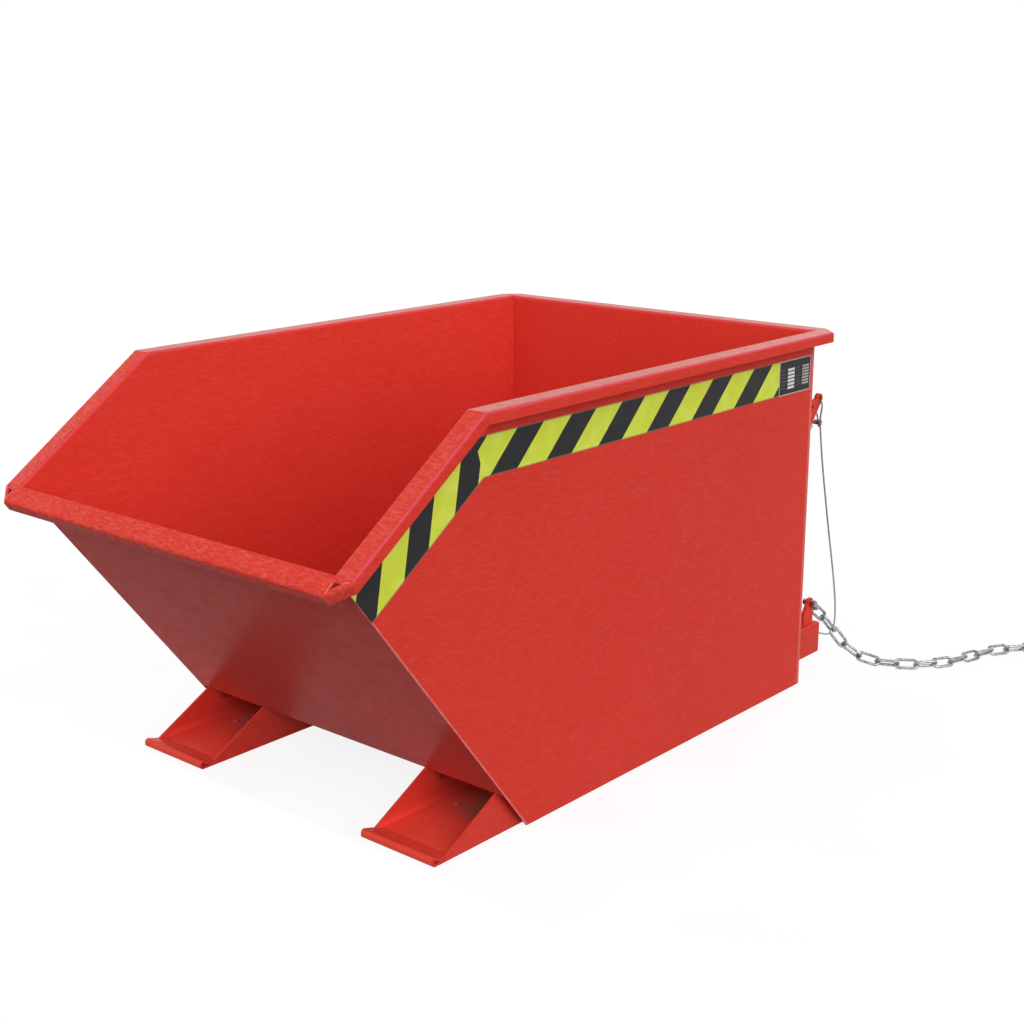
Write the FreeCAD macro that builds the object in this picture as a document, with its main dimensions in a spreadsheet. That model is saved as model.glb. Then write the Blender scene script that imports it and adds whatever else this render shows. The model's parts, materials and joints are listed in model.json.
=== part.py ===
"""Tipping skip for a forklift.

A sheet-steel hopper is hinged at its front foot on two fork skids. A lever at the back, drawn by a
rope, holds its catch pin. +X is the right-hand side, -Y the mouth, +Z up, in millimetres. Profiles
are drawn with y = 0 at the rear edge of the side panels, and row_shift moves them so that the
origin lies under the middle of the skip.
"""
import FreeCAD
import Part
import math
import os
import re
import Sketcher

Vector = FreeCAD.Vector

SIZES = {
    # hopper sheets
    "panel_width": 990,
    "container_height": 936,
    "base_length": 1102,
    "panel_lift": 5,
    "lip_reach": 532,
    "lip_height": 688,
    "kink_back": 355,
    "plate_foot": 96,
    "sheet": 4,
    # folded rim
    "rim_width": 48,
    "rim_drop": 26,
    "bend_radius": 8,
    "corner_cut": 40,
    "notch_inset": 13,
    "notch_side": 19,
    # under the hopper's floor
    "strip_width": 60,
    "strip_thick": 10,
    "strip_inset": 60,
    "stiffener_height": 36,
    "stiffener_thick": 8,
    "stiffener_span": 460,
    "stiffener_front": 926,
    "stiffener_rear": 381,
    # tape and rating plate
    "tape_top": 59,
    "tape_width": 84,
    "tape_thick": 0.4,
    "tape_inset": 1,
    "label_width": 144,
    "label_height": 86,
    "label_thick": 1,
    "label_margin": 16,
    # skids
    "skid_outer": 471,
    "skid_width": 207,
    "skid_wall": 5,
    "skid_base": 5,
    "skid_front": 1368,
    "nose_back": 28,
    "hem_length": 60,
    "hem_height": 20,
    "hem_round": 8,
    "hollow_length": 21,
    "wall_height": 130,
    "base_reach": 20,
    "sleeve_reach": 136,
    "sleeve_bottom": 52,
    "top_plate": 5,
    "top_round": 4,
    # hinge
    "shaft_radius": 7,
    "shaft_overhang": 10,
    "ear_radius": 12.5,
    "ear_thick": 12,
    "ear_length": 110,
    "ear_base": 60,
    "ear_gap": 0.5,
    "neck_drop": 2,
    "foot_rise": 15,
    "stop_gap": 1.2,
    "relief_gap": 1,
    "lug_thick": 10,
    "lug_gap": 2,
    "bush_wall": 2.5,
    "fit_gap": 0.05,
    "washer_thick": 2.5,
    "washer_radius": 12,
    "split_radius": 1.6,
    "split_length": 20,
    "split_head": 4,
    "split_head_rod": 2,
    "split_gap": 0.6,
    # cross members
    "cross_depth": 80,
    "cross_height": 60,
    "cross_wall": 4,
    "cross_bottom": 60,
    "cross_front": 760,
    "cross_rear": 140,
    # latch post
    "post_x": 440,
    "post_width": 40,
    "post_depth": 50,
    "post_front": 40,
    "post_wall": 3,
    "post_top": 700,
    "post_foot": 6,
    "foot_margin": 10,
    "foot_toe": 4,
    "cap_thick": 3,
    "gusset_leg": 80,
    "gusset_thick": 6,
    # latch lever and catch
    "pivot_y": 58,
    "pivot_z": 672,
    "pivot_radius": 6,
    "pivot_tail": 3,
    "pivot_nose": 7,
    "pivot_washer": 12,
    "spacer_thick": 2,
    "lever_thick": 10,
    "lever_width": 24,
    "lever_boss": 16,
    "lever_eye": 88,
    "eye_boss": 14,
    "eye_bore": 8,
    "catch_reach": 52,
    "catch_angle": 118,
    "catch_radius": 6,
    "catch_gap": 4,
    "catch_plate": 8,
    "catch_border": 10,
    "catch_depth": 30,
    "hook_gap": 1,
    "hook_thick": 15,
    "hook_past": 14,
    "arm_lag": 32,
    "latch_swing": 35,
    "peg_radius": 5,
    "peg_along": 16,
    "peg_gap": 0.3,
    # chain
    "anchor_x": 452,
    "anchor_y": 112,
    "anchor_z": 190,
    "anchor_thick": 8,
    "anchor_border": 13,
    "anchor_foot": 32,
    "anchor_cut": 8,
    "shackle_rod": 4,
    "shackle_gap": 16,
    "shackle_length": 36,
    "shackle_boss": 8.5,
    "shackle_dip": 42,
    "shackle_head": 7,
    "link_rod": 4,
    "link_length": 68,
    "link_width": 32,
    "link_slack": 0.6,
    "end_ring": 15,
    "end_ring_rod": 4,
    # release rope
    "rope_radius": 2.5,
    "strand_gap": 0.2,
    "loop_half": 11,
    "loop_shoulder": 16,
    "loop_length": 50,
    "loop_tail": 22,
    "rope_lead": 16,
    "rope_drop": 68,
    "rope_tilt": 10,
    "clip_place": 57,
    "clip_length": 12,
    "clip_width": 20,
    "saddle_thick": 6.5,
    "clip_rod": 2,
    "clip_gap": 0.2,
    "clip_room": 1,
    "clip_stud": 5,
    "nut_flat": 7,
    "nut_thick": 3.6,
    "ferrule_length": 24,
    "ferrule_width": 13,
    "ferrule_height": 6,
    "ferrule_round": 2.4,
    "end_loop_neck": 14,
    "end_loop_half": 28,
    "end_loop_shoulder": 60,
    "end_loop_length": 96,
    "overrun": 20,
}

# Places that follow from the sizes above; each may use the ones before it.
PLACES = {
    "half_width": "panel_width / 2",
    "inside_width": "panel_width - 2 * sheet",
    "lip_y": "-(base_length + lip_reach)",
    "kink_y": "lip_y + kink_back",
    "mouth_rise": "container_height - lip_height",
    "mouth_length": "sqrt(kink_back ^ 2 + mouth_rise ^ 2)",
    "mouth_cos": "kink_back / mouth_length",
    "mouth_sin": "mouth_rise / mouth_length",
    "mouth_angle": "atan2(mouth_rise; kink_back)",
    "mitre": "(1 - mouth_cos) / mouth_sin",
    "plate_rise": "lip_height - panel_lift",
    "plate_length": "sqrt(lip_reach ^ 2 + plate_rise ^ 2)",
    "plate_cos": "lip_reach / plate_length",
    "plate_sin": "plate_rise / plate_length",
    "fold_cos": "plate_cos * mouth_cos - plate_sin * mouth_sin",
    "fold_sin": "plate_cos * mouth_sin + plate_sin * mouth_cos",
    "bend_center": "rim_width - bend_radius",
    "front_edge": "lip_y - bend_center * mouth_cos + bend_radius * mouth_sin - bend_radius",
    "row_shift": "-(front_edge + sleeve_reach) / 2",
    "sleeve_top": "wall_height + top_plate",
    "floor_z": "sleeve_top + strip_thick",
    "floor_top": "floor_z + sheet",
    "plate_slope": "lip_reach / plate_rise",
    "foot_y": "-base_length - (plate_foot - panel_lift) * plate_slope",
    "inner_y": "-base_length + sheet / plate_sin",
    "floor_front": "inner_y - (floor_z - panel_lift) * plate_slope",
    "floor_top_front": "inner_y - (floor_top - panel_lift) * plate_slope",
    "inner_gap": "ear_radius + ear_gap",
    "plate_gap": "inner_gap + sheet",
    "hinge_y": "foot_y + plate_gap * plate_sin - foot_rise * plate_cos",
    "hinge_z": "plate_foot + plate_gap * plate_cos + foot_rise * plate_sin",
    "relief_radius": "sqrt(plate_gap ^ 2 + foot_rise ^ 2) + relief_gap",
    "nose_y": "nose_back - skid_front",
    "nose_run": "hinge_y - nose_y",
    "nose_climb": "hinge_z - skid_base",
    "nose_reach": "sqrt(nose_run ^ 2 + nose_climb ^ 2)",
    "taper_angle": "atan2(nose_climb; nose_run) - asin((plate_gap + stop_gap) / nose_reach)",
    "taper_top_y": "nose_y + (wall_height - skid_base) / tan(taper_angle)",
    "nose_round": "min(hem_round; hem_height / 2 - fit_gap)",
    "hem_run": "hinge_y - nose_round + skid_front",
    "hem_climb": "hinge_z - hem_height + nose_round",
    "hem_reach": "sqrt(hem_run ^ 2 + hem_climb ^ 2)",
    "hem_angle": "atan2(hem_climb; hem_run) - asin((plate_gap + nose_round) / hem_reach)",
    "tip_limit": "atan2(plate_rise; lip_reach) + min(taper_angle; hem_angle)",
    "skid_inner": "skid_outer - skid_width",
    "skid_middle": "skid_outer - skid_width / 2",
    "slot_width": "skid_width - 2 * skid_wall",
    "ear_out": "skid_outer - skid_wall - ear_thick / 2",
    "ear_in": "skid_inner + skid_wall + ear_thick / 2",
    "lug_offset": "ear_thick / 2 + lug_gap + lug_thick / 2",
    "bush_radius": "shaft_radius + fit_gap + bush_wall",
    "split_setback": "washer_thick + split_radius + split_gap",
    "post_base": "sleeve_top + post_foot",
    "lever_x": "post_x + spacer_thick + lever_thick / 2",
    "lever_out": "lever_x + lever_thick / 2",
    "arm_angle": "(catch_angle - arm_lag - latch_swing) * 1 deg",
    "catch_y": "pivot_y + catch_reach * cos(catch_angle * 1 deg)",
    "catch_z": "pivot_z + catch_reach * sin(catch_angle * 1 deg)",
    "catch_x": "lever_out + catch_gap",
    "hook_inner": "catch_reach + catch_radius + hook_gap",
    "hook_outer": "hook_inner + hook_thick",
    "lag_sin": "sin(arm_lag * 1 deg)",
    "lag_cos": "cos(arm_lag * 1 deg)",
    "peg_aside": "lever_width / 2 + peg_radius + peg_gap",
    "peg_y": "pivot_y + peg_along * cos(arm_angle) + peg_aside * sin(arm_angle)",
    "peg_z": "pivot_z + peg_along * sin(arm_angle) - peg_aside * cos(arm_angle)",
    "eye_y": "pivot_y + lever_eye * cos(arm_angle)",
    "eye_z": "pivot_z + lever_eye * sin(arm_angle)",
    "tape_bottom": "tape_top + tape_width",
    "label_front": "-(label_margin + label_width)",
    "shackle_pin": "shackle_rod - fit_gap",
    "link_radius": "link_width / 2 - link_rod",
    "link_straight": "link_length - link_width",
    "link_pitch": "link_length - 4 * link_rod - link_slack",
    "strand": "rope_radius + strand_gap / 2",
}

# The rope hangs from the lever, bows out to the rear and lies on the ground behind the hopper. The
# chain drops over the sleeve's rear end and lies on the ground to the right. Both are laid by hand.
ROPE_ROUTE = [
    (450, 153, 537), (450, 170, 471), (449, 189, 406), (447, 210, 342), (444, 233, 279),
    (439, 258, 217), (431, 285, 157), (419, 313, 100), (402, 340, 50), (376, 365, 14),
    (330, 386, 2.8), (270, 400, 2.7), (208, 406, 2.7), (146, 402, 2.7), (85, 391, 2.7),
    (24, 379, 2.7), (-38, 373, 2.7), (-100, 377, 2.7), (-160, 391, 2.7),
]
CHAIN_ROUTE = [
    (460, 173, 136), (476.5, 200, 96), (500.5, 220, 56), (537, 239, 26), (583, 258, 14),
    (629, 278, 13.6), (672, 307, 13.6), (706, 345, 13.6), (731, 389, 13.6), (748, 437, 13.6),
    (761, 486, 13.6), (777, 534, 13.6), (801, 579, 13.6), (833, 618, 13.6), (870, 653, 13.6),
    (910, 684, 13.6), (952, 712, 13.6),
]
LINK_COUNT = 16
LINK_ROLL = 45
LINK_TWIST = 15
ARC_SHARE = 0.45
SIDES = ((1, "right"), (-1, "left"))

doc = FreeCAD.newDocument("tipping_skip")
sub_parts = []


def fill_sheets():
    """Driving sizes go into one sheet as numbers, the places worked out from them into another."""
    sizes = doc.addObject("Spreadsheet::Sheet", "Sizes")
    for row, (name, number) in enumerate(SIZES.items(), 1):
        sizes.set("A%d" % row, name)
        sizes.set("B%d" % row, str(number))
        sizes.setAlias("B%d" % row, name)
    doc.recompute()
    places = doc.addObject("Spreadsheet::Sheet", "Places")
    for row, (name, formula) in enumerate(PLACES.items(), 1):
        places.set("A%d" % row, name)
        places.setAlias("B%d" % row, name)
        places.set("B%d" % row, "=" + bound(formula))
        doc.recompute()
    return sizes


def bound(text):
    """A formula in plain size names, written with the sheet that holds each name."""
    def with_sheet(match):
        word = match.group(0)
        if word in SIZES:
            return "Sizes." + word
        return "Places." + word if word in PLACES else word
    return re.sub(r"[a-z_][a-z_0-9]*", with_sheet, text)


def value(text):
    """The number that a formula in size names comes to, an angle in degrees."""
    result = sheet.evalExpression(bound(text))
    return float(getattr(result, "Value", result))


def place(item, x="0", y="0", z="0"):
    """Binds where an object stands; y is counted from the side panels' rear edge."""
    item.setExpression("Placement.Base.x", bound(x))
    item.setExpression("Placement.Base.y", bound("row_shift + " + y))
    item.setExpression("Placement.Base.z", bound(z))


def keep(item, label):
    """Names an object as a finished piece of the skip."""
    item.Label = label
    sub_parts.append(item)
    return item


def new_body(label, x="0", y="0", z="0", kept=True):
    body = doc.addObject("PartDesign::Body", label)
    place(body, x, y, z)
    return keep(body, label) if kept else body


def new_sketch(body, role, offset="0"):
    """A sketch on one of the body's own origin planes, moved along its normal by offset."""
    sketch = body.newObject("Sketcher::SketchObject", body.Name + "_sketch")
    plane = [item for item in body.Origin.OriginFeatures if item.Role == role][0]
    sketch.AttachmentSupport = [(plane, "")]
    sketch.MapMode = "FlatFace"
    sketch.setExpression("AttachmentOffset.Base.z", bound(offset))
    return sketch


def pin_point(sketch, geometry, position, corner):
    """Ties a point of the sketch to its two formulas."""
    for kind, text in zip(("DistanceX", "DistanceY"), corner):
        index = sketch.addConstraint(Sketcher.Constraint(kind, -1, 1, geometry, position, value(text)))
        sketch.setExpression("Constraints[%d]" % index, bound(text))


def arc_between(start, end, radius, turn):
    """The short arc from start to end, anticlockwise for a turn of 1 and clockwise for -1."""
    chord = end - start
    rise = math.sqrt(radius ** 2 - (chord.Length / 2) ** 2)
    aside = Vector(-chord.y, chord.x, 0) * (turn * rise / chord.Length)
    center = (start + end) / 2 + aside
    first, last = (start, end) if turn > 0 else (end, start)
    begin = math.atan2(first.y - center.y, first.x - center.x)
    finish = math.atan2(last.y - center.y, last.x - center.x)
    circle = Part.Circle(center, Vector(0, 0, 1), radius)
    return Part.ArcOfCircle(circle, begin, finish if finish > begin else finish + 2 * math.pi)


def add_outline(sketch, corners):
    """A closed outline. A corner with a radius and a turn is reached by an arc, others by a line."""
    points = [Vector(value(corner[0]), value(corner[1]), 0) for corner in corners]
    ends = []
    for index, corner in enumerate(corners):
        start, end = points[index - 1], points[index]
        if len(corner) == 2:
            ends.append((sketch.addGeometry(Part.LineSegment(start, end)), 1, 2))
            continue
        radius, turn = corner[2:]
        geometry = sketch.addGeometry(arc_between(start, end, value(radius), turn))
        limit = sketch.addConstraint(Sketcher.Constraint("Radius", geometry, value(radius)))
        sketch.setExpression("Constraints[%d]" % limit, bound(radius))
        ends.append((geometry, 1, 2) if turn > 0 else (geometry, 2, 1))
    for index, corner in enumerate(corners):
        geometry, _, last = ends[index]
        following, first, _ = ends[(index + 1) % len(ends)]
        sketch.addConstraint(Sketcher.Constraint("Coincident", geometry, last, following, first))
        pin_point(sketch, geometry, last, corner[:2])


def add_circle(sketch, x, y, radius):
    circle = Part.Circle(Vector(value(x), value(y), 0), Vector(0, 0, 1), value(radius))
    geometry = sketch.addGeometry(circle)
    limit = sketch.addConstraint(Sketcher.Constraint("Radius", geometry, value(radius)))
    sketch.setExpression("Constraints[%d]" % limit, bound(radius))
    pin_point(sketch, geometry, 3, (x, y))


def pad(body, sketch, length, midplane=True, reverse=False):
    feature = body.newObject("PartDesign::Pad", body.Name + "_pad")
    feature.Profile = sketch
    feature.setExpression("Length", bound(length))
    feature.Midplane = midplane
    feature.Reversed = reverse
    body.Tip = feature
    return feature


def pad_outline(body, role, corners, length, **options):
    sketch = new_sketch(body, role)
    add_outline(sketch, corners)
    return pad(body, sketch, length, **options)


def pad_circle(body, role, x, y, radius, length):
    sketch = new_sketch(body, role)
    add_circle(sketch, x, y, radius)
    return pad(body, sketch, length)


def pocket(body, sketch, length):
    """Cuts a sketch away evenly on both sides of its plane, and checks that something went."""
    doc.recompute()
    before = body.Shape.Volume
    feature = body.newObject("PartDesign::Pocket", body.Name + "_pocket")
    feature.Profile = sketch
    feature.setExpression("Length", bound(length))
    feature.Midplane = True
    body.Tip = feature
    doc.recompute()
    if body.Shape.Volume >= before:
        raise RuntimeError("nothing was cut from " + body.Label)


def bore(body, role, x, y, radius, length, offset="0"):
    sketch = new_sketch(body, role, offset)
    add_circle(sketch, x, y, radius)
    pocket(body, sketch, length)


def round_edges(body, radius, wanted):
    """Rounds the edges of the body so far whose middle the function wanted accepts."""
    doc.recompute()
    base = body.Tip
    names = []
    for index, edge in enumerate(base.Shape.Edges, 1):
        ends = [vertex.Point for vertex in edge.Vertexes]
        if len(ends) == 2 and wanted((ends[0] + ends[1]) / 2, ends[1] - ends[0]):
            names.append("Edge%d" % index)
    feature = body.newObject("PartDesign::Fillet", body.Name + "_round")
    feature.Base = (base, names)
    feature.setExpression("Radius", bound(radius))
    body.Tip = feature


def block(label, x, y, z, length, width, height):
    """A flat bar or plate from its lowest corner."""
    item = doc.addObject("Part::Box", label)
    for name, text in (("Length", length), ("Width", width), ("Height", height)):
        item.setExpression(name, bound(text))
    place(item, x, y, z)
    return item


def rod(label, x, y, z, radius, length, along=Vector(1, 0, 0)):
    """A round bar that starts at a point and runs along +X, or another axis."""
    item = doc.addObject("Part::Cylinder", label)
    item.setExpression("Radius", bound(radius))
    item.setExpression("Height", bound(length))
    item.Placement = FreeCAD.Placement(Vector(), FreeCAD.Rotation(Vector(0, 0, 1), along))
    place(item, x, y, z)
    return item


def ring(label, x, y, z, inner, outer, length):
    """A bush or washer about an axis along X, x being its middle."""
    body = new_body(label, x, y, z, kept=False)
    sketch = new_sketch(body, "YZ_Plane")
    add_circle(sketch, "0", "0", outer)
    add_circle(sketch, "0", "0", inner)
    pad(body, sketch, length)
    return body


def cut(label, base, tool):
    item = doc.addObject("Part::Cut", label)
    item.Base = base
    item.Tool = tool
    return item


def fuse(label, first, second):
    item = doc.addObject("Part::Fuse", label)
    item.Base = first
    item.Tool = second
    return item


def group(label, members):
    """Several like pieces, each its own solid, under one name."""
    item = doc.addObject("Part::Compound", label)
    item.Links = members
    return keep(item, label)


def feature(label, shape):
    """A bent-rod piece whose shape is worked out here from the sheet's sizes."""
    item = doc.addObject("Part::Feature", label)
    item.Shape = shape
    shift = FreeCAD.Placement(Vector(0, value("row_shift"), 0), FreeCAD.Rotation())
    item.Placement = shift.multiply(shape.Placement)
    return keep(item, label)


def rim_section(start, sign):
    """The folded rim across its run, from the wall's inner face at start outwards."""
    def out(text):
        return "%d * (%s + %s)" % (sign, start, text)
    top, low, fold = "container_height", "container_height - bend_radius", "bend_radius - sheet"
    bottom = "container_height - rim_drop"
    brim = "rim_width + sheet"
    return [
        (out("0"), low),
        (out("bend_radius"), top, "bend_radius", -sign),
        (out(brim + " - bend_radius"), top),
        (out(brim), low, "bend_radius", -sign),
        (out(brim), bottom),
        (out("rim_width"), bottom),
        (out("rim_width"), low),
        (out(brim + " - bend_radius"), "container_height - sheet", fold, sign),
        (out("bend_radius"), "container_height - sheet"),
        (out("sheet"), low, fold, sign),
    ]


def along_plate(depth):
    """The point of a side panel's front edge that lies a depth below the mouth."""
    share = "(%s) / fold_sin" % depth
    return "lip_y + %s * plate_cos" % share, "lip_height - %s * plate_sin" % share


def side_panel(sign, hand):
    """A side sheet; its rim runs along the top and down the sloped mouth, mitred at the kink."""
    body = new_body("side_panel_" + hand, "%d * (half_width - sheet / 2)" % sign)
    pad_outline(body, "YZ_Plane", [
        ("0", "panel_lift"),
        ("-base_length", "panel_lift"),
        along_plate("bend_radius"),
        ("kink_y + bend_radius * mitre", "container_height - bend_radius"),
        ("0", "container_height - bend_radius"),
    ], "sheet")
    path = new_sketch(body, "YZ_Plane")
    runs = [("0", "container_height"), ("kink_y", "container_height"), ("lip_y", "lip_height")]
    points = [Vector(value(y), value(z), 0) for y, z in runs]
    for index in (0, 1):
        path.addGeometry(Part.LineSegment(points[index], points[index + 1]))
        pin_point(path, index, 1, runs[index])
    path.addConstraint(Sketcher.Constraint("Coincident", 0, 2, 1, 1))
    pin_point(path, 1, 2, runs[2])
    section = new_sketch(body, "XZ_Plane")
    add_outline(section, rim_section("-sheet / 2", sign))
    sweep = body.newObject("PartDesign::AdditivePipe", body.Name + "_rim")
    sweep.Profile = section
    sweep.Spine = path
    sweep.Transition = "Right corner"
    body.Tip = sweep


def rear_wall():
    body = new_body("rear_wall")
    section = rim_section("-sheet", 1)
    pad_outline(body, "YZ_Plane", section + [("0", "floor_z"), ("-sheet", "floor_z")], "inside_width")


def front_plate():
    """The sloping sheet, its upper edge folded out along the mouth and down again."""
    foot = ("foot_y", "plate_foot")
    foot_inner = ("foot_y + sheet * plate_sin", "plate_foot + sheet * plate_cos")
    back = "sheet * fold_cos / fold_sin"
    shoulder = ("lip_y + sheet * plate_sin + %s * plate_cos" % back,
                "lip_height + sheet * plate_cos - %s * plate_sin" % back)

    def brim(ahead, below):
        return ("lip_y - (%s) * mouth_cos + (%s) * mouth_sin" % (ahead, below),
                "lip_height - (%s) * mouth_sin - (%s) * mouth_cos" % (ahead, below))
    outer, inner = brim("rim_width", "0"), brim("rim_width - sheet", "sheet")
    under = along_plate("sheet")
    body = new_body("front_plate")
    pad_outline(body, "YZ_Plane", [
        foot, foot_inner, shoulder, outer, brim("rim_width", "rim_drop"),
        brim("rim_width - sheet", "rim_drop"), inner, under,
    ], "inside_width")

    def at(*corners):
        spots = [(value(y), value(z)) for y, z in corners]
        return lambda middle, way: abs(way.x) > value("half_width") and any(
            math.hypot(middle.y - y, middle.z - z) < value("fit_gap") for y, z in spots)
    round_edges(body, "bend_radius", at(shoulder, outer))
    round_edges(body, "bend_radius - sheet", at(inner, under))


def floor_plate():
    body = new_body("floor_plate")
    pad_outline(body, "YZ_Plane", [
        ("-sheet", "floor_z"), ("-sheet", "floor_top"),
        ("floor_top_front", "floor_top"), ("floor_front", "floor_z"),
    ], "inside_width")


def rim_corner(sign, hand, front):
    """Closes the rim between two edges: a cut-off flat corner with its edge folded down. The front
    ones keep a three-cornered gap where the seams meet."""
    end = "front" if front else "rear"
    out = -1 if front else 1
    body = new_body("rim_corner_%s_%s" % (end, hand), "%d * (half_width - sheet)" % sign,
                    "lip_y" if front else "0", "lip_height" if front else "container_height")
    if front:
        body.Placement.Rotation = FreeCAD.Rotation(Vector(1, 0, 0), value("mouth_angle"))
        body.setExpression("Placement.Rotation.Angle", bound("mouth_angle"))
    thin = "corner_cut + sheet * (sqrt(2) - 1)"

    def spot(x, y):
        return "%d * (%s)" % (sign, x), "%d * (%s)" % (out, y)
    outer = [
        spot("rim_width + sheet", "0"),
        spot("rim_width + sheet", "rim_width - corner_cut"),
        spot("rim_width + sheet - corner_cut", "rim_width"),
        spot("0", "rim_width"),
    ]
    inner = [
        spot("0", "rim_width - sheet"),
        spot("rim_width + sheet - (%s)" % thin, "rim_width - sheet"),
        spot("rim_width", "rim_width - (%s)" % thin),
        spot("rim_width", "0"),
    ]
    options = {"midplane": False, "reverse": True}
    pad_outline(body, "XY_Plane", outer + [spot("0", "0")], "sheet", **options)
    pad_outline(body, "XY_Plane", outer + inner, "rim_drop", **options)
    tiny = value("fit_gap")
    round_edges(body, "bend_radius", lambda middle, way: (
        abs(middle.z) < tiny and abs(way.z) < tiny and abs(middle.x) > tiny and abs(middle.y) > tiny))
    if front:
        notch = new_sketch(body, "XY_Plane")
        add_outline(notch, [
            spot("notch_inset", "notch_inset"), spot("notch_inset + notch_side", "notch_inset"),
            spot("notch_inset", "notch_inset + notch_side"),
        ])
        pocket(body, notch, "4 * sheet")


def floor_bars():
    """Strips that rest on the fork sleeves, and flat bars across the floor between them."""
    for sign, hand in SIDES:
        label = "bearing_strip_" + hand
        keep(block(label, "%d * skid_middle - strip_width / 2" % sign, "taper_top_y + strip_inset",
                   "sleeve_top", "strip_width", "-taper_top_y - 2 * strip_inset", "strip_thick"), label)
    for end in ("front", "rear"):
        label = "floor_stiffener_" + end
        keep(block(label, "-stiffener_span / 2", "-stiffener_%s - stiffener_thick / 2" % end,
                   "floor_z - stiffener_height", "stiffener_span", "stiffener_thick",
                   "stiffener_height"), label)


def tape(sign, hand):
    """Hazard tape that follows the rim on the outside of a side panel."""
    rear = "label_front" if hand == "right" else "-label_margin"
    ends = {}
    for edge in ("tape_top", "tape_bottom"):
        y, z = along_plate(edge)
        ends[edge] = ("%s + tape_inset" % y, z)
    body = new_body("hazard_tape_" + hand, "%d * half_width" % sign)
    pad_outline(body, "YZ_Plane", [
        (rear, "container_height - tape_top"),
        ("kink_y + tape_top * mitre", "container_height - tape_top"),
        ends["tape_top"], ends["tape_bottom"],
        ("kink_y + tape_bottom * mitre", "container_height - tape_bottom"),
        (rear, "container_height - tape_bottom"),
    ], "tape_thick", midplane=False, reverse=sign < 0)


def rating_plate():
    keep(block("rating_plate", "half_width", "label_front", "container_height - tape_top - label_height",
               "label_thick", "label_width", "label_height"), "rating_plate")


def skid(sign, hand):
    """A channel on the ground: tapering walls, a base with a rolled nose that is hollow inside, and a
    raised rear end."""
    body = new_body("skid_" + hand, "%d * skid_middle" % sign)
    pad_outline(body, "YZ_Plane", [
        ("nose_y", "0"), ("base_reach", "0"), ("base_reach", "sleeve_bottom"),
        ("sleeve_reach", "sleeve_bottom"), ("sleeve_reach", "wall_height"),
        ("taper_top_y", "wall_height"), ("nose_y", "skid_base"),
    ], "skid_width")
    slot = new_sketch(body, "YZ_Plane")
    add_outline(slot, [
        ("nose_y - overrun", "skid_base"), ("sleeve_reach + overrun", "skid_base"),
        ("sleeve_reach + overrun", "wall_height + overrun"),
        ("nose_y - overrun", "wall_height + overrun"),
    ])
    pocket(body, slot, "slot_width")
    bore(body, "YZ_Plane", "hinge_y", "hinge_z", "relief_radius", "skid_width + overrun")
    base = new_sketch(body, "YZ_Plane")
    add_outline(base, [
        ("base_reach", "0"), ("nose_round - skid_front", "0"),
        ("-skid_front", "nose_round", "nose_round", -1), ("-skid_front", "hem_height - nose_round"),
        ("nose_round - skid_front", "hem_height", "nose_round", -1),
        ("hem_length - skid_front", "skid_base"), ("base_reach", "skid_base"),
    ])
    add_outline(base, [
        ("skid_base - skid_front", "skid_base"),
        ("skid_base + hollow_length - skid_front", "skid_base"),
        ("skid_base - skid_front", "hem_height - skid_base"),
    ])
    pad(body, base, "skid_width")


def sleeve_plate(sign, hand):
    """The plate over a skid's walls that makes it a fork sleeve, its free edges rounded."""
    body = new_body("sleeve_top_" + hand, "%d * skid_middle" % sign)
    pad_outline(body, "YZ_Plane", [
        ("taper_top_y", "wall_height"), ("sleeve_reach", "wall_height"),
        ("sleeve_reach", "sleeve_top"), ("taper_top_y", "sleeve_top"),
    ], "skid_width")
    top, front = value("sleeve_top"), value("taper_top_y")
    tiny = value("fit_gap")
    round_edges(body, "top_round", lambda middle, way: (
        abs(middle.z - top) < tiny and abs(middle.y - front) > tiny))


def cross_member(end):
    """A square tube that ties the two skids together."""
    front, near, low = "-cross_" + end, "-cross_%s + cross_wall" % end, "cross_bottom + cross_wall"
    back, far = front + " + cross_depth", front + " + cross_depth - cross_wall"
    top, high = "cross_bottom + cross_height", "cross_bottom + cross_height - cross_wall"
    body = new_body("cross_member_" + end)
    section = new_sketch(body, "YZ_Plane")
    add_outline(section, [(front, "cross_bottom"), (back, "cross_bottom"), (back, top), (front, top)])
    add_outline(section, [(near, low), (far, low), (far, high), (near, high)])
    pad(body, section, "2 * skid_inner")


def hinge_ear(label, x):
    """A plate on a skid wall with a round nose about the hinge shaft."""
    heel = "hinge_y + relief_radius + relief_gap"
    body = new_body(label, x)
    pad_outline(body, "YZ_Plane", [
        ("hinge_y", "hinge_z - neck_drop"), (heel, "hinge_z - neck_drop"), (heel, "ear_base"),
        ("hinge_y + ear_length", "ear_base"), ("hinge_y + ear_length", "wall_height"),
        ("hinge_y", "wall_height"),
    ], "ear_thick")
    pad_circle(body, "YZ_Plane", "hinge_y", "hinge_z", "ear_radius", "ear_thick")
    bore(body, "YZ_Plane", "hinge_y", "hinge_z", "shaft_radius", "ear_thick + overrun")


def hinge_lug(label, x):
    """A plate under the hopper's floor and behind its front plate, bored for a bush."""
    body = new_body(label, x)
    pad_outline(body, "YZ_Plane", [
        ("hinge_y - inner_gap * plate_sin", "hinge_z - inner_gap * plate_cos"),
        ("floor_front", "floor_z"), ("hinge_y + ear_radius", "floor_z"),
        ("hinge_y + ear_radius", "hinge_z"),
    ], "lug_thick")
    pad_circle(body, "YZ_Plane", "hinge_y", "hinge_z", "ear_radius", "lug_thick")
    bore(body, "YZ_Plane", "hinge_y", "hinge_z", "bush_radius", "lug_thick + overrun")


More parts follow.
